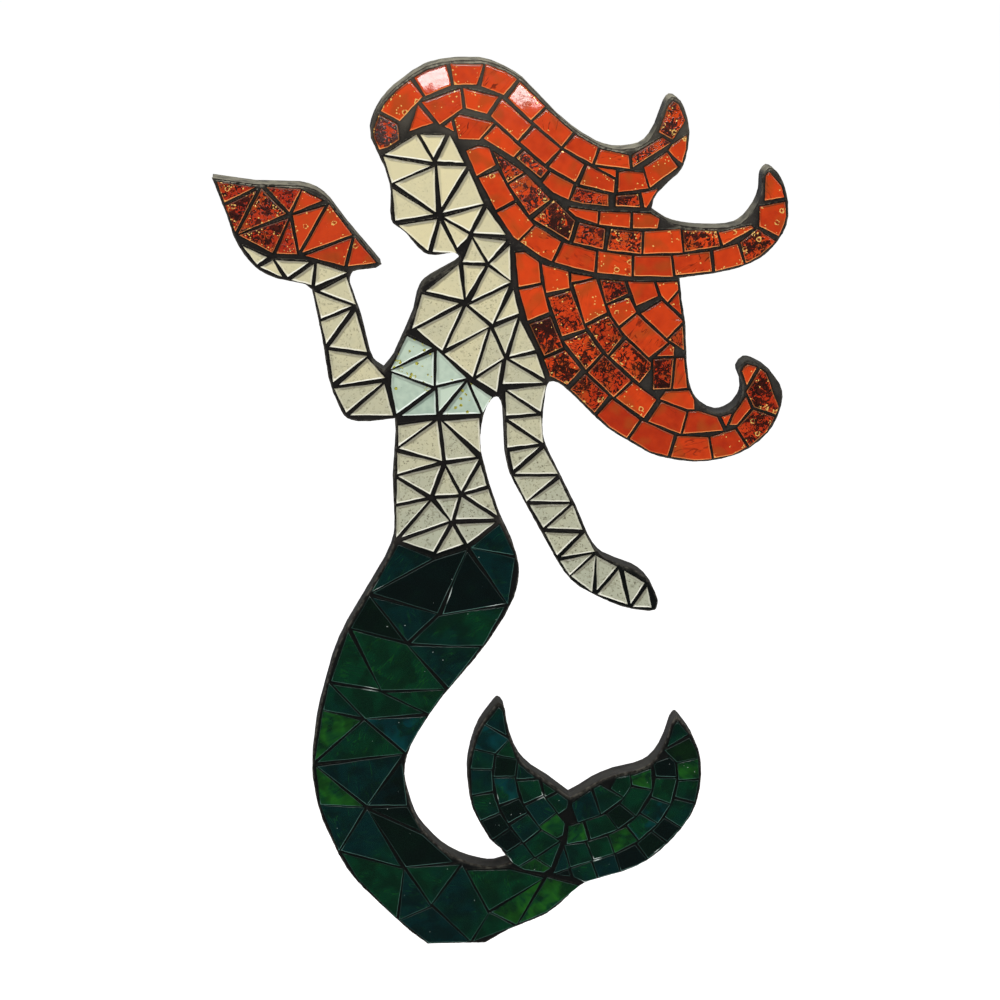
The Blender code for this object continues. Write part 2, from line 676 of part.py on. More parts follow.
def turned(piece, rng):
    """A piece set a little askew in its bed."""
    angle = SHARD_TURN * rng.uniform(-1, 1)
    c, s = math.cos(angle), math.sin(angle)
    centre = piece.mean(0)
    return (piece - centre) @ np.array([[c, s], [-s, c]]) + centre


# Solids

def seen_colour(rgb):
    """Linear colour from values as seen."""
    share = np.array(rgb) / 255
    return np.where(share <= 0.04045, share / 12.92, ((share + 0.055) / 1.055) ** 2.4)


def make_material(name, look):
    rgb, roughness = look
    material = bpy.data.materials.new(name)
    material.use_nodes = True
    shader = material.node_tree.nodes["Principled BSDF"]
    colour = (*(float(c) for c in seen_colour(rgb)), 1.0)
    shader.inputs["Base Color"].default_value = colour
    shader.inputs["Roughness"].default_value = roughness
    shader.inputs["Metallic"].default_value = 0.0
    material.diffuse_color = colour
    return material


def slab(name, loops, back, front, collection, material=None):
    """Flat outlines given a thickness: back and front are depths before the wall."""
    curve = bpy.data.curves.new(name, "CURVE")
    curve.dimensions = "2D"
    curve.fill_mode = "BOTH"
    curve.extrude = (front - back) / 2
    for loop in loops:
        line = curve.splines.new("POLY")
        line.points.add(len(loop) - 1)
        line.use_cyclic_u = True
        for point, (x, z) in zip(line.points, loop):
            point.co = (x, z, 0, 1)
    drawn = bpy.data.objects.new(name + "_curve", curve)
    collection.objects.link(drawn)
    drawn.rotation_euler = (math.pi / 2, 0, 0)
    drawn.location = (0, -(back + front) / 2, 0)
    graph = bpy.context.evaluated_depsgraph_get()
    mesh = bpy.data.meshes.new_from_object(drawn.evaluated_get(graph))
    mesh.name = name
    sew = bmesh.new()
    sew.from_mesh(mesh)
    bmesh.ops.remove_doubles(sew, verts=sew.verts, dist=WELD_DISTANCE)
    bmesh.ops.recalc_face_normals(sew, faces=sew.faces)
    sew.to_mesh(mesh)
    sew.free()
    mesh.materials.clear()
    if material:
        mesh.materials.append(material)
    solid = bpy.data.objects.new(name, mesh)
    collection.objects.link(solid)
    solid.matrix_world = drawn.matrix_world
    solid.rotation_euler = drawn.rotation_euler
    solid.location = drawn.location
    bpy.data.objects.remove(drawn)
    bpy.data.curves.remove(curve)
    return solid


def combine(solid, other, operation):
    """A union with the other solid or a cut by it, kept live."""
    other.hide_render = True
    other.display_type = "WIRE"
    change = solid.modifiers.new(operation.title(), "BOOLEAN")
    change.operation = operation
    change.solver = "EXACT"
    change.object = other


GROUT_BACK = BOARD_THICKNESS + TOUCH_GAP
GROUT_FRONT = GROUT_BACK + GROUT_THICKNESS
GLASS_FRONT = GROUT_FRONT + GLASS_RISE


def bed_loop(name, borders):
    """A field's own share of the grout, clear of the next field's."""
    loop = inset_loop(loop_of(FIELDS[name], borders), TOUCH_GAP / 2)
    return few_points(loop)


def few_points(loop):
    """A loop without points that all but coincide."""
    apart = np.linalg.norm(loop - np.roll(loop, 1, 0), axis=1)
    return loop[apart > CLOSEST_POINTS]


def glass_loop(name, joint, borders):
    """Where glass may lie in a field: inside the bare rim, less half a joint."""
    return few_points(inset_loop(loop_of(FIELDS[name], borders), GROUT_RIM - joint / 2))


def make_board(borders, parts):
    outline = loop_of(list(OUTLINE), borders)
    slab("backing_board", [outline], 0, BOARD_THICKNESS, parts, make_material("board_paint", PAINT))


def make_fused_field(name, pieces, look, borders, parts, helpers):
    """A field's grout with all its glass, which stands proud of it, as one body."""
    material = make_material(name + "_glass", look)
    bed = slab(name + "_mosaic", [bed_loop(name, borders)], GROUT_BACK, GROUT_FRONT, parts, material)
    glass = slab(name + "_glass", pieces, GROUT_FRONT - GROUT_BITE, GLASS_FRONT, helpers, material)
    combine(bed, glass, "UNION")


def make_field_of_pieces(name, pieces, look, borders, parts, helpers):
    """A field's grout with a pocket for each piece of glass, and the pieces."""
    grout = make_material(name + "_grout", GROUT)
    bed = slab(name + "_grout", [bed_loop(name, borders)], GROUT_BACK, GROUT_FRONT, parts, grout)
    pockets = [grow(piece, TOUCH_GAP) for piece in pieces]
    cutter = slab(name + "_pockets", pockets, GROUT_BACK - GROUT_BITE,
                  GROUT_FRONT + GROUT_BITE, helpers)
    combine(bed, cutter, "DIFFERENCE")
    glass = make_material(name + "_glass", look)
    for number, piece in enumerate(pieces, 1):
        slab(f"{name}_glass_{number:02d}", [piece], GROUT_BACK, GLASS_FRONT, parts, glass)


def course_pieces(rows, borders):
    """Pieces in courses along the guide of each lock or lobe."""
    return [piece for name, width, length, joint, seed in rows
            for piece in lay_courses(glass_loop(name, joint, borders),
                                     join_borders(GUIDES[name], borders),
                                     width, length, joint, seed)]


def hair_pieces(borders):
    """Three locks, each laid in courses from its own long edge."""
    return course_pieces([("crown_lock", CROWN_COURSE, CROWN_LENGTH, COURSE_JOINT, 3),
                          ("middle_lock", MIDDLE_COURSE, MIDDLE_LENGTH, COURSE_JOINT, 5),
                          ("long_lock", LONG_COURSE, LONG_LENGTH, COURSE_JOINT, 8)], borders)


def tail_pieces(borders):
    """Large shards down the tail, and small courses round the two lobes."""
    body = lay_shards(glass_loop("tail_body", TAIL_JOINT, borders), TAIL_SHARD, TAIL_JOINT, 4,
                      TAIL_QUAD_SHARE)
    return body + course_pieces(
        [("fluke_left", FLUKE_COURSE, FLUKE_LENGTH, TAIL_JOINT, 6),
         ("fluke_right", FLUKE_COURSE, FLUKE_LENGTH, TAIL_JOINT, 7)], borders)


def shard_pieces(name, side, joint, seed, borders):
    """Broken pieces over a whole field."""
    return lay_shards(glass_loop(name, joint, borders), side, joint, seed)


def clear_scene():
    for thing in list(bpy.data.objects):
        bpy.data.objects.remove(thing)


def new_collection(name):
    collection = bpy.data.collections.new(name)
    bpy.context.scene.collection.children.link(collection)
    return collection


def main():
    clear_scene()
    parts = new_collection("mosaic_panel")
    helpers = new_collection("mosaic_panel_cutters")
    borders = all_borders()
    make_board(borders, parts)
    for name, side, seed in (("raised_arm", RAISED_ARM_SHARD, 15), ("chest", CHEST_SHARD, 30),
                             ("waist", WAIST_SHARD, 20), ("lowered_arm", LOWERED_ARM_SHARD, 39)):
        pieces = shard_pieces(name, side, SKIN_JOINT, seed, borders)
        make_fused_field(name, pieces, SKIN_GLASS, borders, parts, helpers)
    make_fused_field("hair", hair_pieces(borders), HAIR_GLASS, borders, parts, helpers)
    make_fused_field("tail", tail_pieces(borders), TAIL_GLASS, borders, parts, helpers)
    for name, side, joint, look, seed in (("shell", SHELL_SHARD, SHELL_JOINT, RED_GLASS, 31),
                                          ("face", FACE_SHARD, SKIN_JOINT, SKIN_GLASS, 7),
                                          ("top", TOP_SHARD, SHELL_JOINT, AQUA_GLASS, 38)):
        pieces = shard_pieces(name, side, joint, seed, borders)
        make_field_of_pieces(name, pieces, look, borders, parts, helpers)


main()
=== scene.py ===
# Mermaid mosaic panel: hand-cut glass bedded in dark grout on a sawn and painted board.
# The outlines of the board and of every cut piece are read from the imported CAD, then dressed in finer meshes.
import math

import bpy
import numpy as np
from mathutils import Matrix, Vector
from mathutils.geometry import delaunay_2d_cdt


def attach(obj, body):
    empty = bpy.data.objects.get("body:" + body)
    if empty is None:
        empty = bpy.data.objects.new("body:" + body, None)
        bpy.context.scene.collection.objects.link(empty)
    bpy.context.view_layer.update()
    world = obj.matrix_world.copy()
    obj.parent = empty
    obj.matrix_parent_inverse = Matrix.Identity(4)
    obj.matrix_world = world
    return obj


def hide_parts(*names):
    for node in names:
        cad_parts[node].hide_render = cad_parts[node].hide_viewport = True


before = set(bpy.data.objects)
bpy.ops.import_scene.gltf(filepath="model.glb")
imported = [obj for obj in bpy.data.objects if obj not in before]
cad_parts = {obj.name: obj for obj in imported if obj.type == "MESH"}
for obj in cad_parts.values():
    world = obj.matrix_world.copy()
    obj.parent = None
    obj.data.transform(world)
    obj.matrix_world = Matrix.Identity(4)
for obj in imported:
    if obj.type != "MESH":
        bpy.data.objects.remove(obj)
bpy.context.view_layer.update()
scene = bpy.context.scene
print("frame loaded:", len(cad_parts), "nodes")

# Outlines


def loopsOf(triangles, count):
    # Rims of a flat mesh: edges without a twin, chained by doubling the stride until every corner knows its loop and
    # its rank.
    edges = np.concatenate([triangles[:, [0, 1]], triangles[:, [1, 2]], triangles[:, [2, 0]]])
    lone = ~np.isin(edges[:, 0] * count + edges[:, 1], edges[:, 1] * count + edges[:, 0])
    here = np.arange(count)
    before = here.copy()
    before[edges[lone, 1]] = edges[lone, 0]
    strides = int(math.ceil(math.log2(count))) + 1
    leader, jump = here.copy(), before.copy()
    for _ in range(strides):
        leader, jump = np.minimum(leader, leader[jump]), jump[jump]
    back = np.where(leader == here, here, before)
    rank = (back != here).astype(int)
    for _ in range(strides):
        rank, back = rank + rank[back], back[back]
    rim = here[before != here]
    rim = rim[np.lexsort((rank[rim], leader[rim]))]
    return np.split(rim, np.flatnonzero(np.diff(leader[rim])) + 1)


def outlinesAt(nodes, depth):
    # Closed outlines, in mm as across and up, of the faces of some CAD nodes that lie at one depth.
    found = []
    for node in nodes:
        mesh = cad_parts[node].data
        points = np.empty(len(mesh.vertices) * 3)
        mesh.vertices.foreach_get("co", points)
        corners = np.empty(len(mesh.loops), np.int64)
        mesh.loops.foreach_get("vertex_index", corners)
        triangles = points.reshape(-1, 3)[corners].reshape(-1, 3, 3) * 1000
        flat = triangles[(np.abs(triangles[:, :, 1] + depth) < 0.02).all(1)]
        plan, index = np.unique(np.round(flat[:, :, [0, 2]].reshape(-1, 2), 3), axis=0, return_inverse=True)
        found += [plan[loop] for loop in loopsOf(index.reshape(-1, 3), len(plan))]
    return found


def stepsOf(loop):
    # Inward normal of each side, and each corner's move for 1 mm of inset: both normals added, over one plus their
    # product.
    ahead = np.roll(loop, -1, 0) - loop
    ahead /= np.hypot(*ahead.T)[:, None]
    inward = np.stack([-ahead[:, 1], ahead[:, 0]], 1)
    before = np.roll(inward, 1, 0)
    return inward, (inward + before) / np.maximum(1 + (inward * before).sum(1), 0.35)[:, None]


def spread(loop, count):
    # A loop's sides shared into count stations with every corner kept: each station's side, and how far along it lies.
    lengths = np.hypot(*(np.roll(loop, -1, 0) - loop).T)
    stops = np.maximum(1, np.floor(lengths / lengths.sum() * (count - len(loop))).astype(int))
    stops[lengths.argmax()] += count - stops.sum()
    side = np.repeat(np.arange(len(loop)), stops)
    along = (np.arange(count) - np.repeat(np.cumsum(stops) - stops, stops)) / np.repeat(stops, stops)
    return side, along


def lerpSides(values, side, along):
    # The corners' values carried along their sides: each one's own, plus its share of the step to the next one's.
    following = np.roll(values, -1, 0)
    return values[side] + (following[side] - values[side]) * along[:, None]


def waver(place, seed, size):
    # Smooth wander from -1 to 1: three sine waves across the plan, each finer and in its own direction.
    rng = np.random.default_rng(seed)
    total = np.zeros(len(place))
    for fine in (1, 2.3, 4.9):
        turn, phase = rng.uniform(0, 2 * math.pi, 2)
        total += np.sin((place @ [math.cos(turn), math.sin(turn)]) * 2 * math.pi * fine / size + phase) / fine
    return total / 1.64


def lattice(place, seed, size):
    # Value noise: random heights on a square lattice, blended by smooth steps between its four corners.
    table = np.random.default_rng(seed).uniform(-1, 1, (64, 64))
    cell = np.floor(place / size).astype(int)
    part = place / size - cell
    part = part * part * (3 - 2 * part)
    (across, up), (left, low), (right, high) = part.T, (cell % 64).T, ((cell + 1) % 64).T
    first, second = (table[side, low] * (1 - up) + table[side, high] * up for side in (left, right))
    return first * (1 - across) + second * across


def standing(plan, depth):
    # Points of the upright panel from their place in the plan and their distance from the wall.
    return np.stack([plan[:, 0], -np.broadcast_to(depth, len(plan)), plan[:, 1]], 1)


def makePiece(name, points, quads, triangles, marks=None, sheet=None):
    # One mesh from arrays: points in mm, four- and three-cornered faces, one number per point for each mark.
    mesh = bpy.data.meshes.new(name)
    mesh.vertices.add(len(points))
    mesh.vertices.foreach_set("co", (np.asarray(points) / 1000).astype(np.float32).ravel())
    corners = np.concatenate([np.ravel(quads), np.ravel(triangles)]).astype(np.int32)
    starts = np.concatenate([np.arange(len(quads)) * 4, len(quads) * 4 + np.arange(len(triangles)) * 3])
    mesh.loops.add(len(corners))
    mesh.loops.foreach_set("vertex_index", corners)
    mesh.polygons.add(len(starts))
    mesh.polygons.foreach_set("loop_start", starts.astype(np.int32))
    mesh.update(calc_edges=True)
    mesh.validate()
    mesh.shade_smooth()
    for mark, values in (marks or {}).items():
        mesh.attributes.new(mark, "FLOAT", "POINT").data.foreach_set("value", np.asarray(values, np.float32))
    if sheet is not None:
        vectors = mesh.attributes.new("sheet", "FLOAT_VECTOR", "POINT").data
        vectors.foreach_set("vector", sheet.astype(np.float32).ravel())
    piece = bpy.data.objects.new(name, mesh)
    scene.collection.objects.link(piece)
    print("made", name, len(quads) * 2 + len(triangles), "triangles")
    return piece


def place(piece, material, slotName, nodes):
    piece.data.materials.append(material)
    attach(piece, "root")
    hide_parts(*nodes)


# Shader helpers


def tint(red, green, blue):
    # A screen colour from 0 to 255 as the linear colour that a shader wants.
    screen = np.array([red, green, blue]) / 255
    return (*np.where(screen > 0.04045, ((screen + 0.055) / 1.055) ** 2.4, screen / 12.92), 1.0)


bench = {}  # holds the node tree that is being worked on


def put(kind, setting=None, **sockets):
    # A node with its settings, and its inputs given as numbers, colours or other nodes' outputs.
    node = bench["tree"].nodes.new(kind)
    for key, value in (setting or {}).items():
        setattr(node, key, value)
    for key, value in sockets.items():
        socket = node.inputs[int(key[2:]) if key.startswith("at") and key[2:].isdigit() else key.replace("_", " ")]
        if isinstance(value, bpy.types.NodeSocket):
            bench["tree"].links.new(value, socket)
        else:
            socket.default_value = value
    return node


def sumOf(operation):
    # A helper that adds one sum of one or two numbers to the tree.
    def added(first, second=0.0):
        return put("ShaderNodeMath", {"operation": operation}, at0=first, at1=second).outputs[0]
    return added


times, plus, minus, divided = (sumOf(kind) for kind in ("MULTIPLY", "ADD", "SUBTRACT", "DIVIDE"))
larger, less, more, unsigned = (sumOf(kind) for kind in ("MAXIMUM", "LESS_THAN", "GREATER_THAN", "ABSOLUTE"))


def ramp(value, low, high):
    # 0 below low, 1 above high, a smooth step between.
    smooth = {"interpolation_type": "SMOOTHSTEP"}
    return put("ShaderNodeMapRange", smooth, Value=value, From_Min=low, From_Max=high).outputs[0]


def blend(share, first, second):
    return put("ShaderNodeMix", {"data_type": "RGBA"}, at0=share, at6=first, at7=second).outputs[2]


def speckle(where, size, detail=2.0, distortion=0.0):
    noise = put("ShaderNodeTexNoise", Vector=where, Scale=1 / size, Detail=detail, Distortion=distortion)
    return noise.outputs[0]


def stretched(where, *scale):
    return put("ShaderNodeMapping", Vector=where, Scale=scale).outputs[0]


def mark(name, output="Fac"):
    return put("ShaderNodeAttribute", {"attribute_name": name}).outputs[output]


def onObject():
    return put("ShaderNodeTexCoord").outputs["Object"]


def group(name, inputs, *outputs):
    # An empty effect, its place, and its other inputs, each with its usual number, or none where it is a colour.
    tree = bench["tree"] = bpy.data.node_groups.new(name, "ShaderNodeTree")

    def socket(label, side, kind):
        return tree.interface.new_socket(label, in_out=side, socket_type="NodeSocket" + kind)
    socket("Where", "INPUT", "Vector")
    for label, value in inputs.items():
        made = socket(label, "INPUT", "Color" if value is None else "Float")
        if value is not None:
            made.default_value = value
    for label in outputs:
        socket(label, "OUTPUT", "Color" if label == "Color" else "Float")
    given = tree.nodes.new("NodeGroupInput").outputs
    return tree, given["Where"], given


def use(effect, **sockets):
    return put("ShaderNodeGroup", {"node_tree": effect}, **sockets).outputs


def finish(name):
    material = bpy.data.materials.new(name)
    material.use_nodes = True
    material.node_tree.nodes.clear()
    bench["tree"] = material.node_tree
    return material


def surface(**sockets):
    put("ShaderNodeOutputMaterial", Surface=put("ShaderNodeBsdfPrincipled", **sockets).outputs[0])


# Shared effects, sizes in metres


def makeCrackle():
    # Burnt worm-like crackle: the narrow band round the middle of a twisted noise, joined by the darkest blots of a
    # finer one, in broad patches.
    tree, where, given = group("wormCrackle", {"Cover": 0.5}, "Mask")
    patch = ramp(speckle(where, 0.0095, 1.0), 0.36, 0.62)
    cover = times(given["Cover"], plus(patch, 0.4))
    worm = speckle(where, 0.0052, 2.0, 1.6)
    band = divided(unsigned(minus(worm, 0.5)), times(cover, 0.085))
    worms = minus(1.0, ramp(band, 0.7, 1.15))
    blots = ramp(plus(speckle(where, 0.0036, 3.0, 0.9), times(cover, 0.13)), 0.6, 0.66)
    put("NodeGroupOutput", Mask=larger(worms, times(blots, 0.9)))
    return tree


def luckyCells(where, given, setting=None):
    # Cells of one size: how far the middle is, and 1 where the cell's own random number is under the cover.
    cells = put("ShaderNodeTexVoronoi", setting, Vector=where, Scale=divided(1.0, given["Size"])).outputs
    lucky = put("ShaderNodeSeparateColor", Color=cells["Color"]).outputs[0]
    return cells["Distance"], less(lucky, given["Cover"])


def makeFlecks():
    # Foil flecks: the ragged middles of small cells, of which the cover says how many are kept.
    tree, where, given = group("foilFlecks", {"Cover": 0.1, "Reach": 0.3, "Size": 0.002}, "Mask")
    away, kept = luckyCells(where, given)
    ragged = plus(away, times(speckle(where, 0.0006, 1.0), 0.35))
    put("NodeGroupOutput", Mask=times(less(ragged, plus(given["Reach"], 0.12)), kept))
    return tree


def makeRings():
    # Foil drawn up round bubbles: a band at one distance from the middle of a flat cell, waved and broken by noise,
    # and its inside.
    tree, where, given = group("foilRings", {"Cover": 0.1, "Size": 0.009}, "Mask", "Core")
    away, kept = luckyCells(where, given, {"voronoi_dimensions": "2D"})
    away = plus(away, times(minus(speckle(where, 0.0016, 2.0), 0.5), 0.3))
    whole = minus(1.0, ramp(unsigned(minus(away, 0.17)), 0.035, 0.065))
    broken = ramp(speckle(where, 0.0012, 2.0), 0.44, 0.52)
    inside = minus(1.0, ramp(away, 0.1, 0.2))
    put("NodeGroupOutput", Mask=times(times(whole, broken), kept), Core=times(inside, kept))
    return tree


def makeStreaks():
    # Drawn streaks of the molten sheet: noise pulled out long, as soft bands where it is high, and as hairlines where
    # it crosses its middle.
    tree, where, given = group("sheetStreaks", {"Low": 0.5, "High": 0.7}, "Mask", "Hairline")
    bands = speckle(stretched(where, 1 / 0.0026, 1 / 0.012, 1.0), 1.0, 3.0, 0.7)
    pulled = speckle(stretched(where, 1 / 0.0052, 1 / 0.026, 1.0), 1.0, 2.0, 0.5)
    thin = minus(1.0, ramp(unsigned(minus(pulled, 0.5)), 0.006, 0.028))
    parts = ramp(speckle(where, 0.006, 2.0), 0.44, 0.6)
    put("NodeGroupOutput", Mask=ramp(bands, given["Low"], given["High"]), Hairline=times(thin, parts))
    return tree


def makeRipple():
    # Slow ripple of rolled glass with a little fine orange peel.
    tree, where, given = group("glassRipple", {"Peel": 0.12}, "Height")
    fine = times(speckle(where, 0.0009, 2.0), given["Peel"])
    put("NodeGroupOutput", Height=plus(speckle(where, 0.006, 1.0), fine))
    return tree


def makeGrain():
    # Cement and brushed-paint grain: coarse clouds, sand and pinholes, as a tone and a height.
    tree, where, given = group("mineralGrain", {"Sand": 0.5}, "Tone", "Height")
    cloud, sand = speckle(where, 0.011, 4.0), speckle(where, 0.0007, 3.0)
    pits = ramp(speckle(where, 0.0013, 1.0), 0.28, 0.36)
    tone, height = plus(times(cloud, 0.6), times(sand, 0.4)), plus(pits, times(sand, given["Sand"]))
    put("NodeGroupOutput", Tone=tone, Height=height)
    return tree


def makeDustAndTopLight():
    # Pale dust and painted top light on what faces up, thickest on the crown: the upward part of the normal, broken by
    # noise.
    tree, where, given = group("dustAndPaintedTopLight", {"Base": None}, "Color")
    up = put("ShaderNodeSeparateXYZ", Vector=put("ShaderNodeNewGeometry").outputs["Normal"]).outputs[2]
    height = put("ShaderNodeSeparateXYZ", Vector=where).outputs[2]
    patch = plus(times(ramp(speckle(where, 0.006, 4.0), 0.34, 0.6), 0.65), 0.35)
    paintedCrownLight = plus(ramp(height, -0.05, 0.15), 0.12)
    amount = times(times(times(ramp(up, 0.2, 0.8), patch), paintedCrownLight), 0.9)
    put("NodeGroupOutput", Color=blend(amount, given["Base"], tint(158, 153, 134)))
    return tree


makers = (makeCrackle, makeFlecks, makeRings, makeStreaks, makeRipple, makeGrain, makeDustAndTopLight)
crackle, flecks, bubbles, streaks, ripple, grain, dustAndTopLight = (make() for make in makers)

# Glass

cut = {  # mm unless it says otherwise
    "stations": 26,  # points round each piece
    "face": 15.0, "foot": 13.3,  # how far the glass face and foot stand from the wall
    "wander": 0.16, "short": 8.0,  # unevenness of a nipped side, which is less on a side shorter than this
    "tremor": 0.05, "chip": 0.5,  # its finest unevenness, and how much a corner may lose
    "tilt": 1.1, "lift": 0.2,  # degrees that a piece may lie off level, and the most that this may lift its side
    "low": 0.14, "up": 0.02, "high": 0.2,  # how much lower or higher a piece may be set, and the highest of its face
    "bend": 0.9,  # corners whose sides' normals agree more than this aren't chipped
    "clear": 0.25,  # least joint left between grown pieces
    "lit": (0.42, -0.91), "unlit": 0.18,  # across and up of the sides given the most painted highlight, and the painted highlight of the others
    # rings of the face from inside out: inset, drop, share of the painted arris highlight and of the painted shade of
    # the far edge
    "roll": (
        (2.1, 0.0, 0.0, 0.0), (1.15, 0.0, 0.0, 0.9), (1.0, 0.01, 0.95, 1.0), (0.26, 0.06, 1.0, 1.0),
        (0.0, 0.4, 0.8, 1.0),
    ),
    "roomy": 3.2,  # pieces whose inner circle is smaller than this have their rings drawn closer in proportion
    "flash": 2.2, "flashFade": 1.4,  # strength of a painted glint at its spot, and the distance over which it loses 1
    "far": 9.0,  # more than any joint is wide
}


def sizesOf(loop):
    # Side lengths, and the radius of the circle that touches the sides: twice the area over the perimeter.
    following = np.roll(loop, -1, 0)
    lengths = np.hypot(*(following - loop).T)
    twice = abs((loop[:, 0] * following[:, 1] - following[:, 0] * loop[:, 1]).sum())
    return lengths, twice / lengths.sum()


def tileBody(loop, rng, grow, way, lean=None):
    # One cut piece: rings round its outline, each an inset of the nipped sides, from the face over the arris and down.
    inward, step = stepsOf(loop)
    side, along = spread(loop, cut["stations"])
    lengths, room = sizesOf(loop)
    turns = np.abs((inward * np.roll(inward, 1, 0)).sum(1)) < cut["bend"]
    chips = cut["chip"] * rng.uniform(0, 1, len(loop)) ** 3 * turns
    corners = loop + step * (chips * 0.7 - grow)[:, None]
    wander = cut["wander"] * np.minimum(1, lengths / cut["short"]) * rng.uniform(0.3, 1, len(loop))
    phase, waves = rng.uniform(0, 2 * math.pi, len(loop)), rng.uniform(0.6, 2.2, len(loop))
    bow = wander[side] * np.sin(phase[side] + 2 * math.pi * waves[side] * along) * np.sin(math.pi * along)
    bow += cut["tremor"] * rng.uniform(-1, 1, len(side))
    edge = lerpSides(corners, side, along) + inward[side] * bow[:, None]
    steps = lerpSides(step, side, along)
    middle = corners.mean(0)
    if lean is None:
        lean = np.radians(rng.uniform(-cut["tilt"], cut["tilt"], 2))
        lean *= min(1, cut["lift"] / (np.hypot(*lean) * np.hypot(*(loop - middle).T).max()))
    # Painted light: sides facing down and to the right get the most painted arris highlight, sides facing up and to the
    # left the painted shade.
    facing = -inward[side] @ np.array(cut["lit"])
    each = rng.uniform(0.25, 1, len(loop))[side] ** way.get("spark", 1)
    scale = way.get("arris", 1) * min(1, room / cut["roomy"])
    plan, drop, inset, gleam, shade = [middle[None]], [[0.0]], [[room]], [[0.0]], [[0.0]]
    flat = np.ones(len(edge))
    for offset, fall, lit, dark in cut["roll"]:
        offset *= scale
        plan.append(edge + steps * offset)
        drop.append(fall * flat)
        inset.append(offset * flat)
        gleam.append(lit * (cut["unlit"] + (1 - cut["unlit"]) * np.clip(facing, 0, 1)) * each)
        shade.append(dark * np.clip(-facing, 0, 1))
    plan = np.concatenate([*plan, edge, middle[None]])
    drop, inset, gleam, shade = (np.concatenate([*rows, rows[-1], rows[0]]) for rows in (drop, inset, gleam, shade))
    face = cut["face"] + rng.uniform(-cut["low"], cut["up"]) + (plan - middle) @ lean
    depth = np.minimum(face, cut["face"] + cut["high"]) - drop
    depth[-len(edge) - 1:] = cut["foot"]
    turn, shift = rng.uniform(0, 2 * math.pi), rng.uniform(-400, 400, 2)  # where in its sheet the piece was cut
    local = (plan - middle) @ np.array([[math.cos(turn), math.sin(turn)], [-math.sin(turn), math.cos(turn)]]) + shift
    marks = {"inset": inset, "gleam": gleam, "shade": shade}
    return standing(plan, depth), marks, np.stack([local[:, 0], local[:, 1], depth], 1) / 1000


def tileFaces():
    # Faces of one piece, the same for all: a fan, bands of quads from ring to ring, and a fan that closes the foot.
    count, bands = cut["stations"], len(cut["roll"])
    here = np.arange(count)
    ahead = (here + 1) % count
    top = np.stack([np.zeros(count, int), 1 + here, 1 + ahead], 1)
    level = 1 + np.arange(bands)[:, None] * count
    quads = np.stack([level + here, level + count + here, level + count + ahead, level + ahead], 2).reshape(-1, 4)
    last = 1 + bands * count
    foot = np.stack([last + here, np.full(count, last + count), last + ahead], 1)
    return quads, np.concatenate([top, foot])


def squaresTo(points, start, span):
    # Squared distance from each point to each side: to the place beside the point, kept between the side's ends.
    offset = points[:, None] - start
    share = np.clip((offset * span).sum(2) / (span ** 2).sum(1), 0, 1)
    return ((offset - share[..., None] * span) ** 2).sum(2)


def roomRound(loops):
    # Least distance in mm from each outline to any other: from every corner to the sides of all others, either way.
    owner = np.repeat(np.arange(len(loops)), [len(loop) for loop in loops])
    start = np.concatenate(loops)
    span = np.concatenate([np.roll(loop, -1, 0) - loop for loop in loops])
    gap = np.sqrt(squaresTo(start, start, span))
    gap[owner[:, None] == owner] = cut["far"]
    least = np.full((len(loops), len(loops)), cut["far"])
    np.minimum.at(least, (owner[:, None].repeat(len(owner), 1), owner[None].repeat(len(owner), 0)), gap)
    return np.minimum(least, least.T).min(1)


def layGlass(name, loops, spare, look, seed, way):
    # A field of cut pieces as one mesh; look gives all of them their marks from their middles and a random source.
    rng = np.random.default_rng(seed)
    quads, triangles = tileFaces()
    middles = np.array([loop.mean(0) for loop in loops])
    given = look(middles, rng)
    tilted = {int(np.hypot(*(middles - spot).T).argmin()): np.radians(lean) for spot, lean in way.get("tilted", ())}
    size = 2 + (len(cut["roll"]) + 1) * cut["stations"]
    bodies, sheets, marks = [], [], []
    for i, loop in enumerate(loops):
        most = np.clip((spare[i] - cut["clear"]) / 2, 0, way["grow"][1])
        grow = np.minimum(rng.uniform(*way["grow"], len(loop)), most)
        points, own, sheet = tileBody(loop, rng, grow, way, tilted.get(i))
        bodies.append(points)
        sheets.append(sheet)
        marks.append(own)
    start = (np.arange(len(loops)) * size)[:, None, None]
    marks = {key: np.concatenate([own[key] for own in marks]) for key in marks[0]}
    marks.update({key: np.repeat(values, size) for key, values in given.items()})
    points = np.concatenate(bodies)
    if "paintedGlints" in way:  # painted glints: sides near these spots are painted near-white as if they caught the lamp
        spots = np.array(way["paintedGlints"])
        away = np.hypot(points[:, 0, None] - spots[:, 0], points[:, 2, None] - spots[:, 1]).min(1)
        marks["paintedGlint"] = np.clip(cut["flash"] - away / cut["flashFade"], 0, 1) * np.clip(marks["gleam"] * 6, 0, 1)
    faces = (quads + start).reshape(-1, 4), (triangles + start).reshape(-1, 3)
    return makePiece(name, points, *faces, marks, np.concatenate(sheets))


def picked(middles, spots):
    # 1 for the pieces whose middles lie closest to the spots, 0 for the rest.
    chosen = np.zeros(len(middles))
    chosen[np.hypot(*(middles[:, None] - np.array(spots)).transpose(2, 0, 1)).argmin(0)] = 1
    return chosen


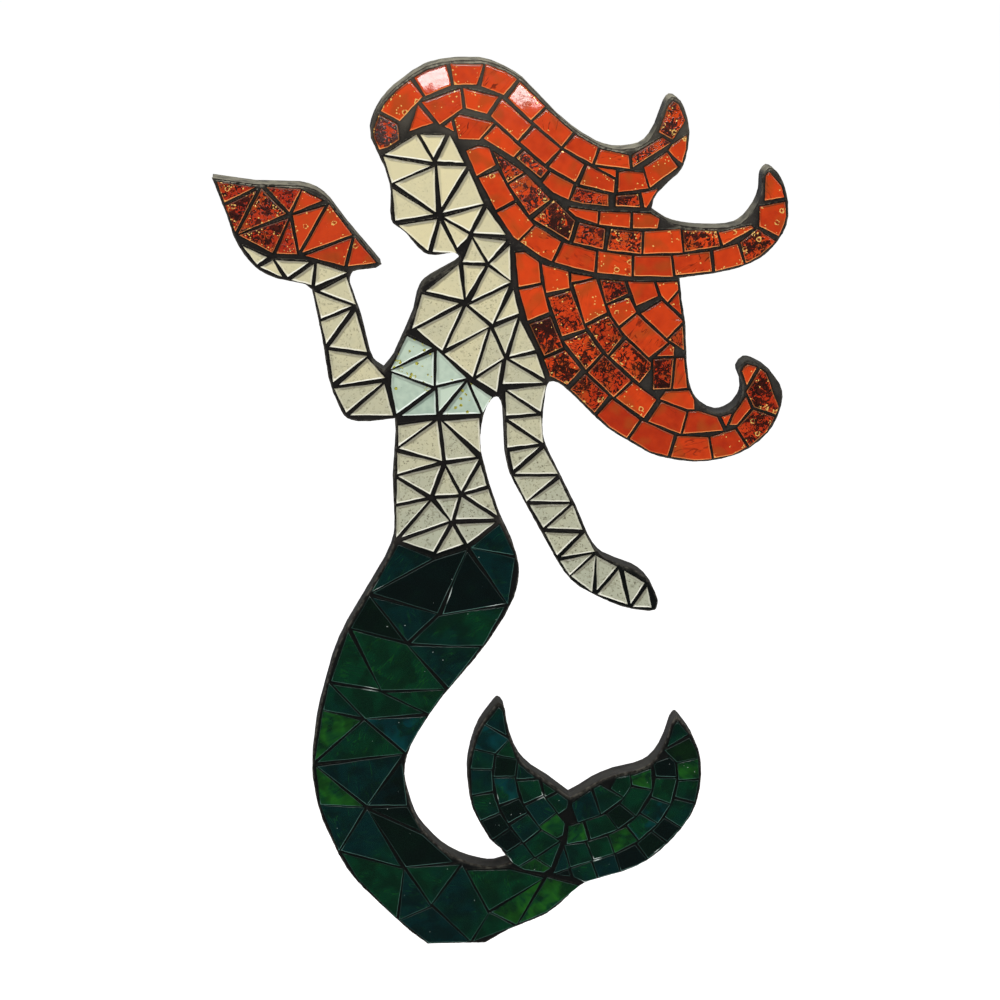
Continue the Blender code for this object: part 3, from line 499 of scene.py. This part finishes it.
hair = {
    "crackled": [  # across and up, in mm, of the pieces that are burnt
        (-70, 139), (11, 124), (29, 113), (48, 99), (73, 96), (2, 115), (35, 79), (58, 70), (82, 66), (112, 68),
        (93, 129), (105, 145), (158, 67), (62, 38), (39, 19), (58, 16), (56, -6), (74, -7), (29, 3), (43, -18),
        (74, -27), (94, -24), (62, -36), (169, -37), (160, -56), (107, 8), (21, 100),
    ],
    "darkest": [(29, 3), (94, -24), (35, 79), (73, 96), (-70, 139)],
    "bright": tint(220, 70, 20), "deep": tint(168, 42, 14), "olive": tint(158, 74, 24), "vein": tint(84, 26, 11),
    # The last two colours below are the painted arris highlight and the painted edge shade.
    "burnt": tint(22, 8, 5), "foil": tint(255, 206, 112), "gleam": tint(255, 166, 96), "shade": tint(74, 20, 10),
    "top": 170.0, "bottom": -60.0,  # heights between which the glass grows deeper: painted shade, the hair painted brighter towards the top as if lit from above
    "way": {  # mm that a side grows, width of the arris, and degrees that chosen pieces lean
        "grow": (-0.15, 0.45), "arris": 0.6,
        "tilted": (((-43, 168), (0.0, -2.5)), ((16, 155), (0.0, -2.5)), ((-21, 172), (0.3, 0.9))),
    },
}


def rise(middles, look):
    # 0 at a look's bottom height and 1 at its top one.
    return np.clip((middles[:, 1] - look["bottom"]) / (look["top"] - look["bottom"]), 0, 1)


def hairLook(middles, rng):
    crackled, many = picked(middles, hair["crackled"]), len(middles)
    # Painted light: the tone rises with height, so the hair is painted brighter towards the top.
    tone = rng.uniform(0, 0.65, many) + 0.5 * rise(middles, hair) - 0.05
    burn = crackled * (0.5 + 0.35 * rng.uniform(0, 1, many) + 0.5 * picked(middles, hair["darkest"]))
    gold = np.clip(rng.uniform(-0.5, 1, many) + 0.3 * crackled, 0, 1)
    return {"tone": tone, "crackle": burn, "gold": gold, "streak": np.clip(rng.uniform(-0.8, 1, many), 0, 1)}


def bevelled(colour, look):
    # The two painted edge effects of every glass: painted shade where the dark is seen through the far edge, then the
    # painted highlight of the arris.
    colour = blend(times(mark("shade"), 0.8), colour, look["shade"])
    return blend(mark("gleam"), colour, look["gleam"])


def clouded(sheet, share, size, detail):
    # A share of the piece's own tone, plus 0.6 of a cloudy noise.
    return plus(times(mark("tone"), share), times(speckle(sheet, size, detail), 0.6))


def ringed(sheet, foil, share, size):
    # Foil flecks joined by foil rings, and the insides of the rings.
    ring, core = use(bubbles, Where=sheet, Cover=times(mark("gold"), share), Size=size)
    return larger(foil, times(ring, 0.9)), core


def glassBump(sheet, peel, raised=0.0):
    height = plus(use(ripple, Where=sheet, Peel=peel)[0], raised)
    return put("ShaderNodeBump", Strength=0.12, Distance=0.0006, Height=height).outputs[0]


def makeRedGlass(name, look):
    # Opaque red-orange sheet glass: cloudy tone, drawn veins, burnt crackle and foil caught near the cut sides.
    material = finish(name)
    sheet, burnt = mark("sheet", "Vector"), mark("crackle")
    colour = blend(ramp(clouded(sheet, 0.7, 0.007, 2.0), 0.1, 1.0), look["deep"], look["bright"])
    brown = ramp(speckle(sheet, 0.013, 1.0), 0.5, 0.72)
    colour = blend(times(brown, 0.55), colour, look["olive"])
    band, hairline = use(streaks, Where=sheet, Low=0.52, High=0.8)
    vein = larger(times(band, 0.4), times(hairline, 0.9))
    colour = blend(times(vein, mark("streak")), colour, look["vein"])
    burn = times(use(crackle, Where=sheet, Cover=burnt)[0], more(burnt, 0.05))
    colour = blend(times(burn, 0.96), colour, look["burnt"])
    rim = minus(1.0, ramp(mark("inset"), 1.2, 3.4))
    clump = ramp(speckle(sheet, 0.0055, 1.0), 0.52, 0.64)
    cover = times(times(plus(rim, 0.2), plus(clump, 0.03)), mark("gold"))
    foil = use(flecks, Where=sheet, Cover=times(cover, 1.6), Reach=0.34, Size=0.0017)[0]
    foil, core = ringed(sheet, foil, 0.2, 0.0074)
    colour = blend(times(core, 0.4), colour, look["vein"])
    colour = blend(foil, bevelled(colour, look), look["foil"])
    rough, metal = plus(times(burn, 0.1), 0.1), times(foil, 0.2)
    bump = glassBump(sheet, 0.12, times(burn, 0.3))
    surface(Base_Color=colour, Roughness=rough, Metallic=metal, IOR=1.5, Normal=bump)
    return material


cream = {
    "high": tint(230, 218, 172), "low": tint(178, 180, 158), "speck": tint(88, 80, 54),
    # The colours below are the painted arris highlight and the painted edge shade.
    "gleam": tint(255, 253, 238), "shade": tint(88, 80, 56),
    "top": 150.0, "bottom": -190.0,  # heights between which the sheet grows greyer and more specked
    "way": {"grow": (-0.25, 0.65), "spark": 0.4},
}


def creamLook(middles, rng):
    fall = np.clip((cream["top"] - middles[:, 1]) / (cream["top"] - cream["bottom"]), 0, 1)
    tone = rng.uniform(0, 1, len(fall))
    return {"tone": tone, "fall": fall, "specks": np.clip(fall * 1.5 - 0.25 + rng.uniform(-0.1, 0.3, len(fall)), 0, 1)}


def makeCreamGlass(name, look):
    # Opaque cream glass: paler towards the face, greyer and more specked towards the hips.
    material = finish(name)
    sheet = mark("sheet", "Vector")
    cloud = minus(plus(mark("tone"), speckle(sheet, 0.007, 2.0)), 1.0)
    fall = plus(mark("fall"), times(cloud, 0.22))
    colour = blend(ramp(fall, -0.1, 0.95), look["high"], look["low"])
    fine = ramp(speckle(sheet, 0.0013, 2.0, 0.4), 0.6, 0.66)
    coarse = times(ramp(speckle(sheet, 0.0027, 3.0, 0.6), 0.56, 0.7), 0.4)
    dots = times(larger(fine, coarse), times(mark("specks"), 0.9))
    colour = bevelled(blend(dots, colour, look["speck"]), look)
    rough = plus(times(dots, 0.3), 0.14)
    surface(Base_Color=colour, Roughness=rough, IOR=1.5, Normal=glassBump(sheet, 0.1))
    return material


aqua = {
    "pale": tint(200, 216, 196), "deep": tint(158, 180, 164), "foil": tint(190, 190, 74), "rust": tint(122, 116, 44),
    # The colours below are the painted arris highlight and the painted edge shade.
    "gleam": tint(244, 253, 244), "shade": tint(66, 84, 72),
    "gilt": [(-59, -7), (-56, 3), (-47, -17), (-47, -2), (-19, -27)],  # pieces with the most foil
    "way": {"grow": (-0.2, 0.65), "spark": 0.4},
}


def aquaLook(middles, rng):
    return {"tone": rng.uniform(0, 1, len(middles)), "gold": 0.2 + 0.6 * picked(middles, aqua["gilt"])}


def makeAquaGlass(name, look):
    # Pale aqua glass with gold-green foil crumbs.
    material = finish(name)
    sheet = mark("sheet", "Vector")
    tone = clouded(sheet, 0.6, 0.004, 3.0)
    colour = blend(ramp(tone, 0.1, 0.9), look["deep"], look["pale"])
    clump = plus(ramp(speckle(sheet, 0.0065, 1.0), 0.46, 0.62), 0.08)
    cover = times(mark("gold"), clump)
    foil = use(flecks, Where=sheet, Cover=cover, Reach=0.36, Size=0.0034)[0]
    foil = ringed(sheet, foil, 0.36, 0.0078)[0]
    crumb = blend(ramp(speckle(sheet, 0.001, 2.0), 0.42, 0.58), look["rust"], look["foil"])
    colour = blend(foil, bevelled(colour, look), crumb)
    rough = plus(times(tone, 0.08), 0.08)
    surface(Base_Color=colour, Roughness=rough, IOR=1.5, Normal=glassBump(sheet, 0.12))
    return material


tail = {
    "bright": [  # across and up, in mm, of the leaf green pieces
        (-109, -272), (-103, -294), (-100, -306), (40, -343), (50, -336), (27, -372), (40, -385), (20, -391), (6, -398),
        (100, -304), (127, -294), (127, -283), (81, -348),
    ],
    "green": [(-85, -259), (40, -305), (-14, -321), (-76, -234), (-53, -228), (-66, -220), (57, -376), (62, -347)],
    "sea": [(-10, -267), (104, -327), (94, -342), (-66, -267), (-70, -285), (10, -307)],
    "night": [
        (103, -289), (-2, -292), (-7, -325), (3, -337), (118, -335), (101, -353), (81, -364), (-81, -156), (-23, -152),
        (-46, -165), (-74, -329), (-71, -348), (-39, -127),
    ],
    "teal": tint(2, 32, 34), "deep": tint(3, 46, 28), "leaf": tint(32, 94, 22), "sea blue": tint(2, 52, 56),
    # Below, the second colour is the painted arris highlight, the third the painted edge shade, the fourth the painted
    # glint.
    "dark": tint(4, 12, 11), "gleam": tint(88, 128, 118), "shade": tint(3, 9, 8), "paintedGlint": tint(232, 244, 238),
    "top": -150.0, "bottom": -205.0,  # heights between which the glass turns from teal to green
    "way": {
        "grow": (0.25, 0.6), "spark": 0.9, "arris": 0.4,
        # Across and up, in mm, of the sides given painted glints.
        "paintedGlints": [
            (-50, -352), (-33, -414), (63, -335), (62, -347), (65, -358), (57, -376), (105, -353), (-23, -295),
            (0, -308), (28, -310), (-15, -280), (-79, -155), (-33, -161), (-4, -170), (-65, -200), (-68, -178),
            (-84, -226), (8, -355),
        ],
    },
}


def tailLook(middles, rng):
    bright, green, sea, night = (picked(middles, tail[key]) for key in ("bright", "green", "sea", "night"))
    many = len(middles)
    tone = np.clip(rng.uniform(0, 1, many) + 0.5 * green, 0, 1) - 0.6 * rise(middles, tail)
    leaf, sea = bright * rng.uniform(0.65, 1, many), sea * (1 - bright)
    night = np.maximum(night * (1 - bright), rng.uniform(0, 1, many) < 0.12) * 0.85
    return {"tone": tone, "bright": leaf, "sea": sea, "night": night, "streak": rng.uniform(0.1, 1, many)}


def makeGreenGlass(name, look):
    # Deep green cathedral glass over dark adhesive: near black teal, some sheets streaked leaf green or sea blue.
    material = finish(name)
    sheet = mark("sheet", "Vector")
    broad = times(minus(speckle(onObject(), 0.055, 1.0), 0.5), 1.4)
    cloud = times(minus(speckle(sheet, 0.012, 3.0, 0.8), 0.5), 0.85)
    tone = plus(mark("tone"), plus(broad, cloud))
    colour = blend(ramp(tone, 0.25, 0.85), look["teal"], look["deep"])
    pool = ramp(speckle(sheet, 0.011, 1.0, 0.6), 0.36, 0.6)
    colour = blend(times(mark("sea"), pool), colour, look["sea blue"])
    drawn, hairline = use(streaks, Where=sheet, Low=0.25, High=0.8)
    mixed = plus(times(pool, 0.6), times(drawn, 0.4))
    colour = blend(mark("bright"), colour, blend(mixed, look["deep"], look["leaf"]))
    hint = larger(times(drawn, 0.08), times(hairline, 0.3))
    colour = blend(times(hint, mark("streak")), colour, look["leaf"])
    hollow = ramp(speckle(sheet, 0.016, 2.0, 0.5), 0.42, 0.62)  # sheets that darken towards one side
    colour = blend(times(hollow, 0.5), colour, look["dark"])
    colour = blend(mark("night"), colour, look["dark"])
    seeds = use(flecks, Where=sheet, Cover=0.12, Reach=0.11, Size=0.004)[0]
    # Painted highlights: the glint sides and 0.4 of the seed bubbles are blended towards a near-white colour.
    shine = larger(mark("paintedGlint"), times(seeds, 0.4))
    colour = blend(shine, bevelled(colour, look), look["paintedGlint"])
    rough = plus(times(mark("gleam"), 0.15), 0.05)
    surface(Base_Color=colour, Roughness=rough, IOR=1.5, Normal=glassBump(sheet, 0.05, seeds))
    return material


shell = {
    **hair, "bright": tint(206, 66, 24), "deep": tint(160, 34, 18),
    "left": -124.0, "turn": 20.0,  # where across the shell the burnt pieces begin, and how fast they take over
    "way": {"grow": (-0.1, 0.45), "arris": 0.6},
}


def shellLook(middles, rng):
    left, many = np.clip((shell["left"] - middles[:, 0]) / shell["turn"], 0, 1), len(middles)
    tone = rng.uniform(0.2, 1, many) * (1 - 0.6 * left)
    burn = left * rng.uniform(0.7, 1.1, many)
    return {"tone": tone, "crackle": burn, "gold": 0.35 + 0.9 * left, "streak": 0.3 * rng.uniform(0, 1, many)}


finishes = (
    (makeRedGlass, "redGlass", hair), (makeRedGlass, "shellGlass", shell), (makeCreamGlass, "creamGlass", cream),
    (makeAquaGlass, "aquaGlass", aqua), (makeGreenGlass, "greenGlass", tail),
)
red, orange, pale, sea, green = (make(name, look) for make, name, look in finishes)
numbered = {
    field: sorted(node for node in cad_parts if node.startswith(field + "_glass"))
    for field in ("shell", "face", "top")
}
fields = [  # piece, CAD nodes, the marks and values of its pieces, material, slot, seed
    ("hair_glass", ["hair_mosaic"], hairLook, hair, red, "red_glass", 11),
    ("shell_glass", numbered["shell"], shellLook, shell, orange, "orange_glass", 12),
    ("face_glass", numbered["face"], creamLook, cream, pale, "cream_glass", 13),
    ("top_glass", numbered["top"], aquaLook, aqua, sea, "aqua_glass", 18),
    ("tail_glass", ["tail_mosaic"], tailLook, tail, green, "green_glass", 19),
]
fields[3:3] = [
    (part + "_glass", [part + "_mosaic"], creamLook, cream, pale, "cream_glass", seed)
    for part, seed in (("raised_arm", 14), ("chest", 15), ("waist", 16), ("lowered_arm", 17))
]
outlines = [outlinesAt(nodes, cut["face"]) for _, nodes, *_ in fields]
tiles = [loop for loops in outlines for loop in loops]
spare = np.split(roomRound(tiles), np.cumsum([len(loops) for loops in outlines])[:-1])
for (name, nodes, look, values, material, slotName, seed), loops, gaps in zip(fields, outlines, spare):
    place(layGlass(name, loops, gaps, look, seed, values["way"]), material, slotName, nodes)
print("glass laid:", len(tiles), "pieces")

# Board and grout

sawn = {  # mm
    "pitch": 1.1,  # distance between stations along the sawn edge
    "edge": 11.0,  # board thickness
    "within": 0.1,  # how far the edge stays inside the outline
    "wobble": 0.12, "tremor": 0.05, "calm": 0.3,  # blade wander, its finer part, and what is left of it on the arrises
    "profile": (  # inset and distance from the wall
        (0.6, 0.0), (0.16, 0.12), (0.0, 0.5), (0.0, 3.2), (0.0, 6.0), (0.0, 8.6), (0.02, 10.5), (0.25, 11.0),
    ),
    "dark": tint(48, 48, 49), "light": tint(78, 78, 78), "rubbed": tint(96, 93, 88),
    "brush": (0.35, 2.2, 0.35),  # stretch of the brushed paint across, through and up the board
}
bed = {  # mm
    "pitch": 0.72, "stride": 1.3,  # spacing of the points in the joints, and round a piece of glass
    "stray": 0.16, "clearGlass": 0.6, "clearRim": 0.45,  # how far those in the joints stray, and what they keep off
    "lip": 0.3, "tuck": 0.45,  # how far outside the glass the climb ends, and how far the grout goes under it
    "level": 14.15, "dip": 0.75, "climb": 0.15, "grip": 0.7,  # open level, hollow, height and reach of the climb
    "highest": 14.5, "under": 13.6,  # most that it may stand, and its level under the glass
    "rim": 1.9, "fall": 0.75, "within": 0.12,  # width and drop of the rounded rim, and how far it stays inside
    "ragged": 0.24, "lump": 0.13,  # unevenness of the rim's line, and of the surface
    "profile": ((0.05, 13.0), (0.16, 12.5), (0.1, 11.9), (0.02, 11.3), (-0.1, 11.05)),  # bulge and level of its side
    "sway": 0.12, "pitted": 0.1, "foot": 11.2,  # unevenness of the rim's side, and where it ends above the board
    "tailTop": -122.0, "tailFade": 8.0,  # where the darker grout of the tail begins, and over what height
    "chalk": 0.9, "dark": 0.9,  # width of the chalky rim, and how far from the glass the painted shade of the joint reaches
    "fade": 16.0,  # width over which the grout of the pale glass turns into its neighbour's
    # The last colour below is painted light, for the grout near the top of the head.
    "low": tint(36, 33, 30), "high": tint(60, 56, 51), "dust": tint(104, 100, 92), "paintedCrownLight": tint(104, 98, 86),
    # The first colour below is painted shade, for the joints close to the glass.
    "paintedJointShade": tint(15, 12, 9), "inky": tint(14, 13, 14), "tail": tint(8, 13, 12), "chalky": tint(120, 116, 106),
}


def resampled(loop, pitch):
    # Stations about one pitch apart, every real corner kept.
    count = max(len(loop) + 2, int(round(np.hypot(*(np.roll(loop, -1, 0) - loop).T).sum() / pitch)))
    side, along = spread(loop, count)
    return lerpSides(loop, side, along)


def joined(loops):
    # Several closed loops in one array, with the index of each point's follower.
    sizes = [len(loop) for loop in loops]
    starts = np.cumsum([0] + sizes[:-1])
    ahead = np.concatenate([start + (np.arange(size) + 1) % size for start, size in zip(starts, sizes)])
    return np.concatenate(loops), ahead


def triangulated(points, ahead, loose=None):
    # Constrained Delaunay triangles inside the loops, holes left out; loose points fill the middle.
    everything = points if loose is None else np.concatenate([points, loose])
    result = delaunay_2d_cdt([Vector(p) for p in everything.tolist()], list(enumerate(ahead.tolist())), [], 2, 1e-6)
    triangles = np.array([list(face) for face in result[2]])
    assert len(result[0]) == len(everything) and all(origin and origin[0] == i for i, origin in enumerate(result[3]))
    return triangles


def besidePale(points):
    # 1 among cream and aqua glass, 0 among the rest: half, plus how much nearer a pale middle is than any other.
    middles = np.array([loop.mean(0) for loop in tiles])
    palest = np.repeat([row[4] in (pale, sea) for row in fields], [len(loops) for loops in outlines])
    nearer = []
    for part in np.array_split(points, 40):
        away = np.hypot(*(part[:, None] - middles).transpose(2, 0, 1))
        nearer.append(away[:, ~palest].min(1) - away[:, palest].min(1))
    return np.clip(0.5 + np.concatenate(nearer) / bed["fade"], 0, 1)


boardLoops = [resampled(loop, sawn["pitch"]) for loop in outlinesAt(["backing_board"], sawn["edge"])]
rimPoints, rimAhead = joined(boardLoops)
rimSteps = np.concatenate([stepsOf(loop)[1] for loop in boardLoops])
print("board outline:", len(boardLoops), "loops,", len(rimPoints), "stations")


def capped(name, rings, starts, front, marks=None):
    # One closed piece: its front, quads between its rows of rim points, which start at the starts, and a flat back.
    here, first, second = np.arange(len(rimAhead)), np.array(starts[:-1])[:, None], np.array(starts[1:])[:, None]
    quads = np.stack([first + here, second + here, second + rimAhead, first + rimAhead], 2).reshape(-1, 4)
    back = triangulated(rings[-1][:, [0, 2]], rimAhead)[:, ::-1] + starts[-1]
    return makePiece(name, np.concatenate(rings), quads, np.concatenate([front, back]), marks)


def makeBoard():
    # The outline carried through the board's profile: each ring is inset, with the blade's wander and its finer tremor.
    wander = sawn["wobble"] * waver(rimPoints, 3, 23)
    rings = []
    for i, (inset, depth) in enumerate(reversed(sawn["profile"])):
        drift = (wander + sawn["tremor"] * waver(rimPoints, 20 + i, 6)) * (sawn["calm"] if inset > 0.1 else 1)
        rings.append(standing(rimPoints + rimSteps * (inset + sawn["within"] + np.abs(drift))[:, None], depth))
    starts = np.arange(len(rings)) * len(rimPoints)
    return capped("sawn_board", rings, starts, triangulated(rings[0][:, [0, 2]], rimAhead))


def insideGrid(starts, ends, columns, rows):
    # Which grid points lie inside closed loops: each row's crossings are marked at their column and counted from the
    # left.
    low, high = np.minimum(starts[:, 1], ends[:, 1]), np.maximum(starts[:, 1], ends[:, 1])
    row, side = np.nonzero((rows[:, None] >= low) & (rows[:, None] < high))
    share = (rows[row] - starts[side, 1]) / (ends[side, 1] - starts[side, 1])
    column = np.searchsorted(columns, starts[side, 0] + share * (ends[side, 0] - starts[side, 0]))
    flips = np.zeros((len(rows), len(columns) + 1), int)
    np.add.at(flips, (row, column), 1)
    return np.cumsum(flips, 1)[:, :-1] % 2 == 1


def nearest(points, starts, ends, reach=4.0):
    # Distance in mm from each point to the closest segment, up to reach, a level band of points at a time.
    found = np.full(len(points), reach)
    low, high = np.minimum(starts[:, 1], ends[:, 1]) - reach, np.maximum(starts[:, 1], ends[:, 1]) + reach
    for some in np.array_split(np.argsort(points[:, 1]), max(1, len(points) // 700)):
        band = points[some]
        level = (low < band[:, 1].max()) & (high > band[:, 1].min())
        squares = squaresTo(band, starts[level], (ends - starts)[level])
        found[some] = np.minimum(reach, np.sqrt(squares.min(1, initial=reach ** 2)))
    return found


def groutDepth(points, toGlass, toRim):
    # Open level, hollowed between pieces, climbing the glass at its foot and rounded off at the rim, plus trowelled
    # lumps and sand.
    grip = np.exp(-toGlass / bed["grip"])
    hollow = bed["dip"] * (1 - grip)
    rim = bed["fall"] * np.clip(1 - toRim / bed["rim"], 0, 1) ** 2
    rough = lattice(points, 5, 6.1) + 0.7 * lattice(points, 6, 2.3) + 0.5 * lattice(points, 7, 1.1)
    lump = bed["lump"] * rough * (1 - 0.6 * grip)
    return np.minimum(bed["level"] + bed["climb"] * grip - hollow - rim + lump, bed["highest"])


def makeGrout():
    # Grout surface: points close round every piece of glass and on a fine grid in the joints, over the board's outline.
    glassLoops = [resampled(loop, bed["stride"]) for loop in tiles]
    glassRims = np.concatenate(glassLoops)
    steps = np.concatenate([stepsOf(loop)[1] for loop in glassLoops])
    lip, under = glassRims - steps * bed["lip"], glassRims + steps * bed["tuck"]
    glass = np.concatenate(tiles), np.concatenate([np.roll(loop, -1, 0) for loop in tiles])
    rough = 0.5 * waver(rimPoints, 8, 7) + 0.5 * lattice(rimPoints, 9, 1.6)
    edge = rimPoints - rimSteps * (bed["ragged"] * rough - bed["within"])[:, None]
    low, high = rimPoints.min(0), rimPoints.max(0)
    columns, rows = np.arange(low[0], high[0], bed["pitch"]), np.arange(low[1], high[1], bed["pitch"])
    inJoints = insideGrid(rimPoints, rimPoints[rimAhead], columns, rows) & ~insideGrid(*glass, columns, rows)
    grid = np.stack(np.meshgrid(columns, rows), 2)[inJoints]
    loose = grid + bed["stray"] * np.stack([lattice(grid, 15, 0.9), lattice(grid, 16, 0.9)], 1)
    toGlass, toRim = nearest(loose, *glass), nearest(loose, edge, edge[rimAhead])
    keep = (toGlass > bed["clearGlass"]) & (toRim > bed["clearRim"])
    lipRim = nearest(lip, edge, edge[rimAhead])
    inner = lipRim > bed["lip"]
    plan = np.concatenate([edge, loose[keep], lip[inner], under])
    atGlass = np.zeros(inner.sum() + len(under))
    toGlass = np.concatenate([nearest(edge, *glass), toGlass[keep], atGlass])
    toRim = np.concatenate([np.zeros(len(edge)), toRim[keep], lipRim[inner], np.full(len(under), cut["far"])])
    depth = groutDepth(plan, toGlass, toRim)
    depth[-len(under):] = bed["under"]
    rings, starts = [standing(plan, depth)], [0]
    for i, (bulge, level) in enumerate(bed["profile"]):
        free = level > bed["foot"]
        drift = bed["sway"] * waver(rimPoints, 40 + i, 5) + bed["pitted"] * lattice(rimPoints, 50 + i, 1.4)
        level = level + bed["pitted"] * lattice(rimPoints, 60 + i, 2.0) * free
        starts.append(len(plan) + i * len(rimPoints))
        rings.append(standing(rimPoints - rimSteps * (bulge - bed["within"] + drift * free)[:, None], level))
    heights, many = np.concatenate(rings)[:, 2], len(plan)
    tanked = np.clip((bed["tailTop"] - heights) / bed["tailFade"], 0, 1)  # the tail's grout is the darkest
    rim, joint, inky = np.ones(len(heights)), np.zeros(len(heights)), np.zeros(len(heights))
    rim[:many] = np.clip(1 - toRim / bed["chalk"], 0, 1)
    # Painted shade: the grout is darkened close to the glass, where the joints fall into shadow.
    joint[:many] = np.exp(-toGlass / bed["dark"]) * (1 - 0.7 * rim[:many])
    inky[:many] = besidePale(plan) * (1 - rim[:many])
    marks = {"tanked": tanked * (1 - rim), "rim": rim, "joint": joint, "inky": inky}
    return capped("grout_bed", rings, starts, triangulated(edge, rimAhead, plan[len(edge):]), marks)


def makeGroutFinish(name, look):
    # Charcoal grout, sandy and dusty: painted paler on the crown as painted light, darkened along the glass as painted
    # shade, inky by the pale glass, darkest on the tail, and chalky at the rim.
    material = finish(name)
    where = onObject()
    tone, height = use(grain, Where=where, Sand=0.6)
    colour = blend(ramp(tone, 0.3, 0.7), look["low"], look["high"])
    dust = ramp(speckle(where, 0.004, 4.0), 0.6, 0.75)
    colour = blend(times(dust, 0.25), colour, look["dust"])
    # Painted light: the grout near the top of the head is painted paler.
    paintedCrownLight = ramp(put("ShaderNodeSeparateXYZ", Vector=where).outputs[2], 0.09, 0.17)
    colour = blend(times(paintedCrownLight, 0.5), colour, look["paintedCrownLight"])
    # Painted shade in the joints close to the glass, less on the crown.
    paintedJointShade = times(mark("joint"), minus(0.85, times(paintedCrownLight, 0.45)))
    colour = blend(paintedJointShade, colour, look["paintedJointShade"])
    colour = blend(times(mark("inky"), 0.75), colour, look["inky"])
    colour = blend(times(mark("tanked"), 0.95), colour, look["tail"])
    chalk = times(mark("rim"), ramp(speckle(where, 0.003, 4.0), 0.42, 0.62))
    colour = blend(times(chalk, 0.5), colour, look["chalky"])
    # Dust and painted light: up-facing grout is painted paler, most on the crown.
    colour, rough = use(dustAndTopLight, Base=colour, Where=where)[0], plus(times(tone, 0.3), 0.55)
    bump = put("ShaderNodeBump", Strength=0.7, Distance=0.0003, Height=height).outputs[0]
    surface(Base_Color=colour, Roughness=rough, IOR=1.45, Specular_IOR_Level=0.2, Normal=bump)
    return material


def makeBoardFinish(name, look):
    # Dark grey satin paint brushed along the saw cut, with the grain lying flat through the thickness.
    material = finish(name)
    where = onObject()
    laid = stretched(where, *look["brush"])
    tone, height = use(grain, Where=laid, Sand=0.3)
    colour = blend(ramp(tone, 0.3, 0.7), look["dark"], look["light"])
    rubbed = ramp(speckle(laid, 0.005, 5.0), 0.62, 0.72)
    colour = blend(times(rubbed, 0.4), colour, look["rubbed"])
    # Dust and painted light: up-facing paint is painted paler, most on the crown.
    colour, rough = use(dustAndTopLight, Base=colour, Where=where)[0], plus(times(tone, 0.25), 0.34)
    bump = put("ShaderNodeBump", Strength=0.5, Distance=0.0004, Height=height).outputs[0]
    surface(Base_Color=colour, Roughness=rough, IOR=1.45, Normal=bump)
    return material


place(makeBoard(), makeBoardFinish("boardPaint", sawn), "board_paint", ["backing_board"])
mosaics = [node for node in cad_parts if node.endswith("_mosaic") or node.endswith("_grout")]
place(makeGrout(), makeGroutFinish("charcoalGrout", bed), "grout", mosaics)
print("board and grout made")

# Studio

studio = {  # metres, watts
    "floorLevel": -0.8, "floorHalf": 40.0, "floorTint": (0.86, 0.86, 0.85, 1.0),
    "aim": (-0.0005, -0.015, -0.0977), "distance": 1.4604, "azimuth": -5.3, "elevation": 20.3, "lens": 83.0,
    "lights": (  # name, place, aimed at, size, watts
        ("key", (-0.7, -1.7, 1.5), (0, 0, -0.1), (1.6, 1.2), 15),
        ("fill", (1.3, -1.6, 0.4), (0, 0, -0.1), (1.2, 1.2), 6),
        ("top", (0.0, 0.1, 1.3), (0, 0, 0.1), (0.9, 0.7), 12),
        ("glare", (0.11, -1.5, 0.055), (0, 0, 0.16), (0.26, 0.09), 1.8),
    ),
    "room": 0.06, "backdrop": 1.0, "floorGlow": 0.96,  # brightness of the room in the glass, the backdrop and the floor
}


def setStudio():
    # A flat square floor, the lamps aimed at their targets, and a room that only the camera sees bright.
    count, white = 9, (1.0, 1.0, 1.0, 1.0)
    line = np.linspace(-studio["floorHalf"], studio["floorHalf"], count)
    across, deep = np.meshgrid(line, line)
    points = np.stack([across.ravel(), deep.ravel(), np.full(across.size, studio["floorLevel"])], 1) * 1000
    corner = (np.arange(count - 1)[:, None] * count + np.arange(count - 1)).ravel()
    quads = np.stack([corner, corner + 1, corner + count + 1, corner + count], 1)
    floor = makePiece("floor", points, quads, np.zeros((0, 3), int))
    material = finish("paleFloor")
    glow = studio["floorGlow"]
    surface(Base_Color=studio["floorTint"], Roughness=0.9, Emission_Color=white, Emission_Strength=glow)
    floor.data.materials.append(material)
    floor.visible_glossy = False
    for name, spot, target, size, power in studio["lights"]:
        light = bpy.data.lights.new(name, "AREA")
        light.shape, light.size, light.size_y, light.energy = "RECTANGLE", size[0], size[1], power
        lamp = bpy.data.objects.new(name, light)
        scene.collection.objects.link(lamp)
        lamp.location = spot
        lamp.rotation_euler = (Vector(target) - Vector(spot)).to_track_quat("-Z", "Y").to_euler()
    world = bpy.data.worlds.new("softRoom")
    scene.world = world
    world.use_nodes = True
    room = bench["tree"] = world.node_tree
    ray = put("ShaderNodeLightPath").outputs["Is Camera Ray"]
    shine = put("ShaderNodeMapRange", Value=ray, To_Min=studio["room"], To_Max=studio["backdrop"]).outputs[0]
    room.nodes["Background"].inputs[0].default_value = white
    room.links.new(shine, room.nodes["Background"].inputs[1])
    scene.view_settings.view_transform = "Standard"


def setCamera():
    # The camera stands away from its aim by the azimuth and elevation, and looks back at it.
    turn, rise = math.radians(studio["azimuth"]), math.radians(studio["elevation"])
    away = Vector((math.sin(turn) * math.cos(rise), -math.cos(turn) * math.cos(rise), math.sin(rise)))
    lens = bpy.data.cameras.new("photoCamera")
    lens.lens, lens.sensor_width = studio["lens"], 36.0
    camera = bpy.data.objects.new("photoCamera", lens)
    scene.collection.objects.link(camera)
    camera.location = Vector(studio["aim"]) + away * studio["distance"]
    camera.rotation_euler = (-away).to_track_quat("-Z", "Y").to_euler()
    scene.camera = camera


setStudio()
setCamera()
bpy.context.view_layer.update()
print("studio set")
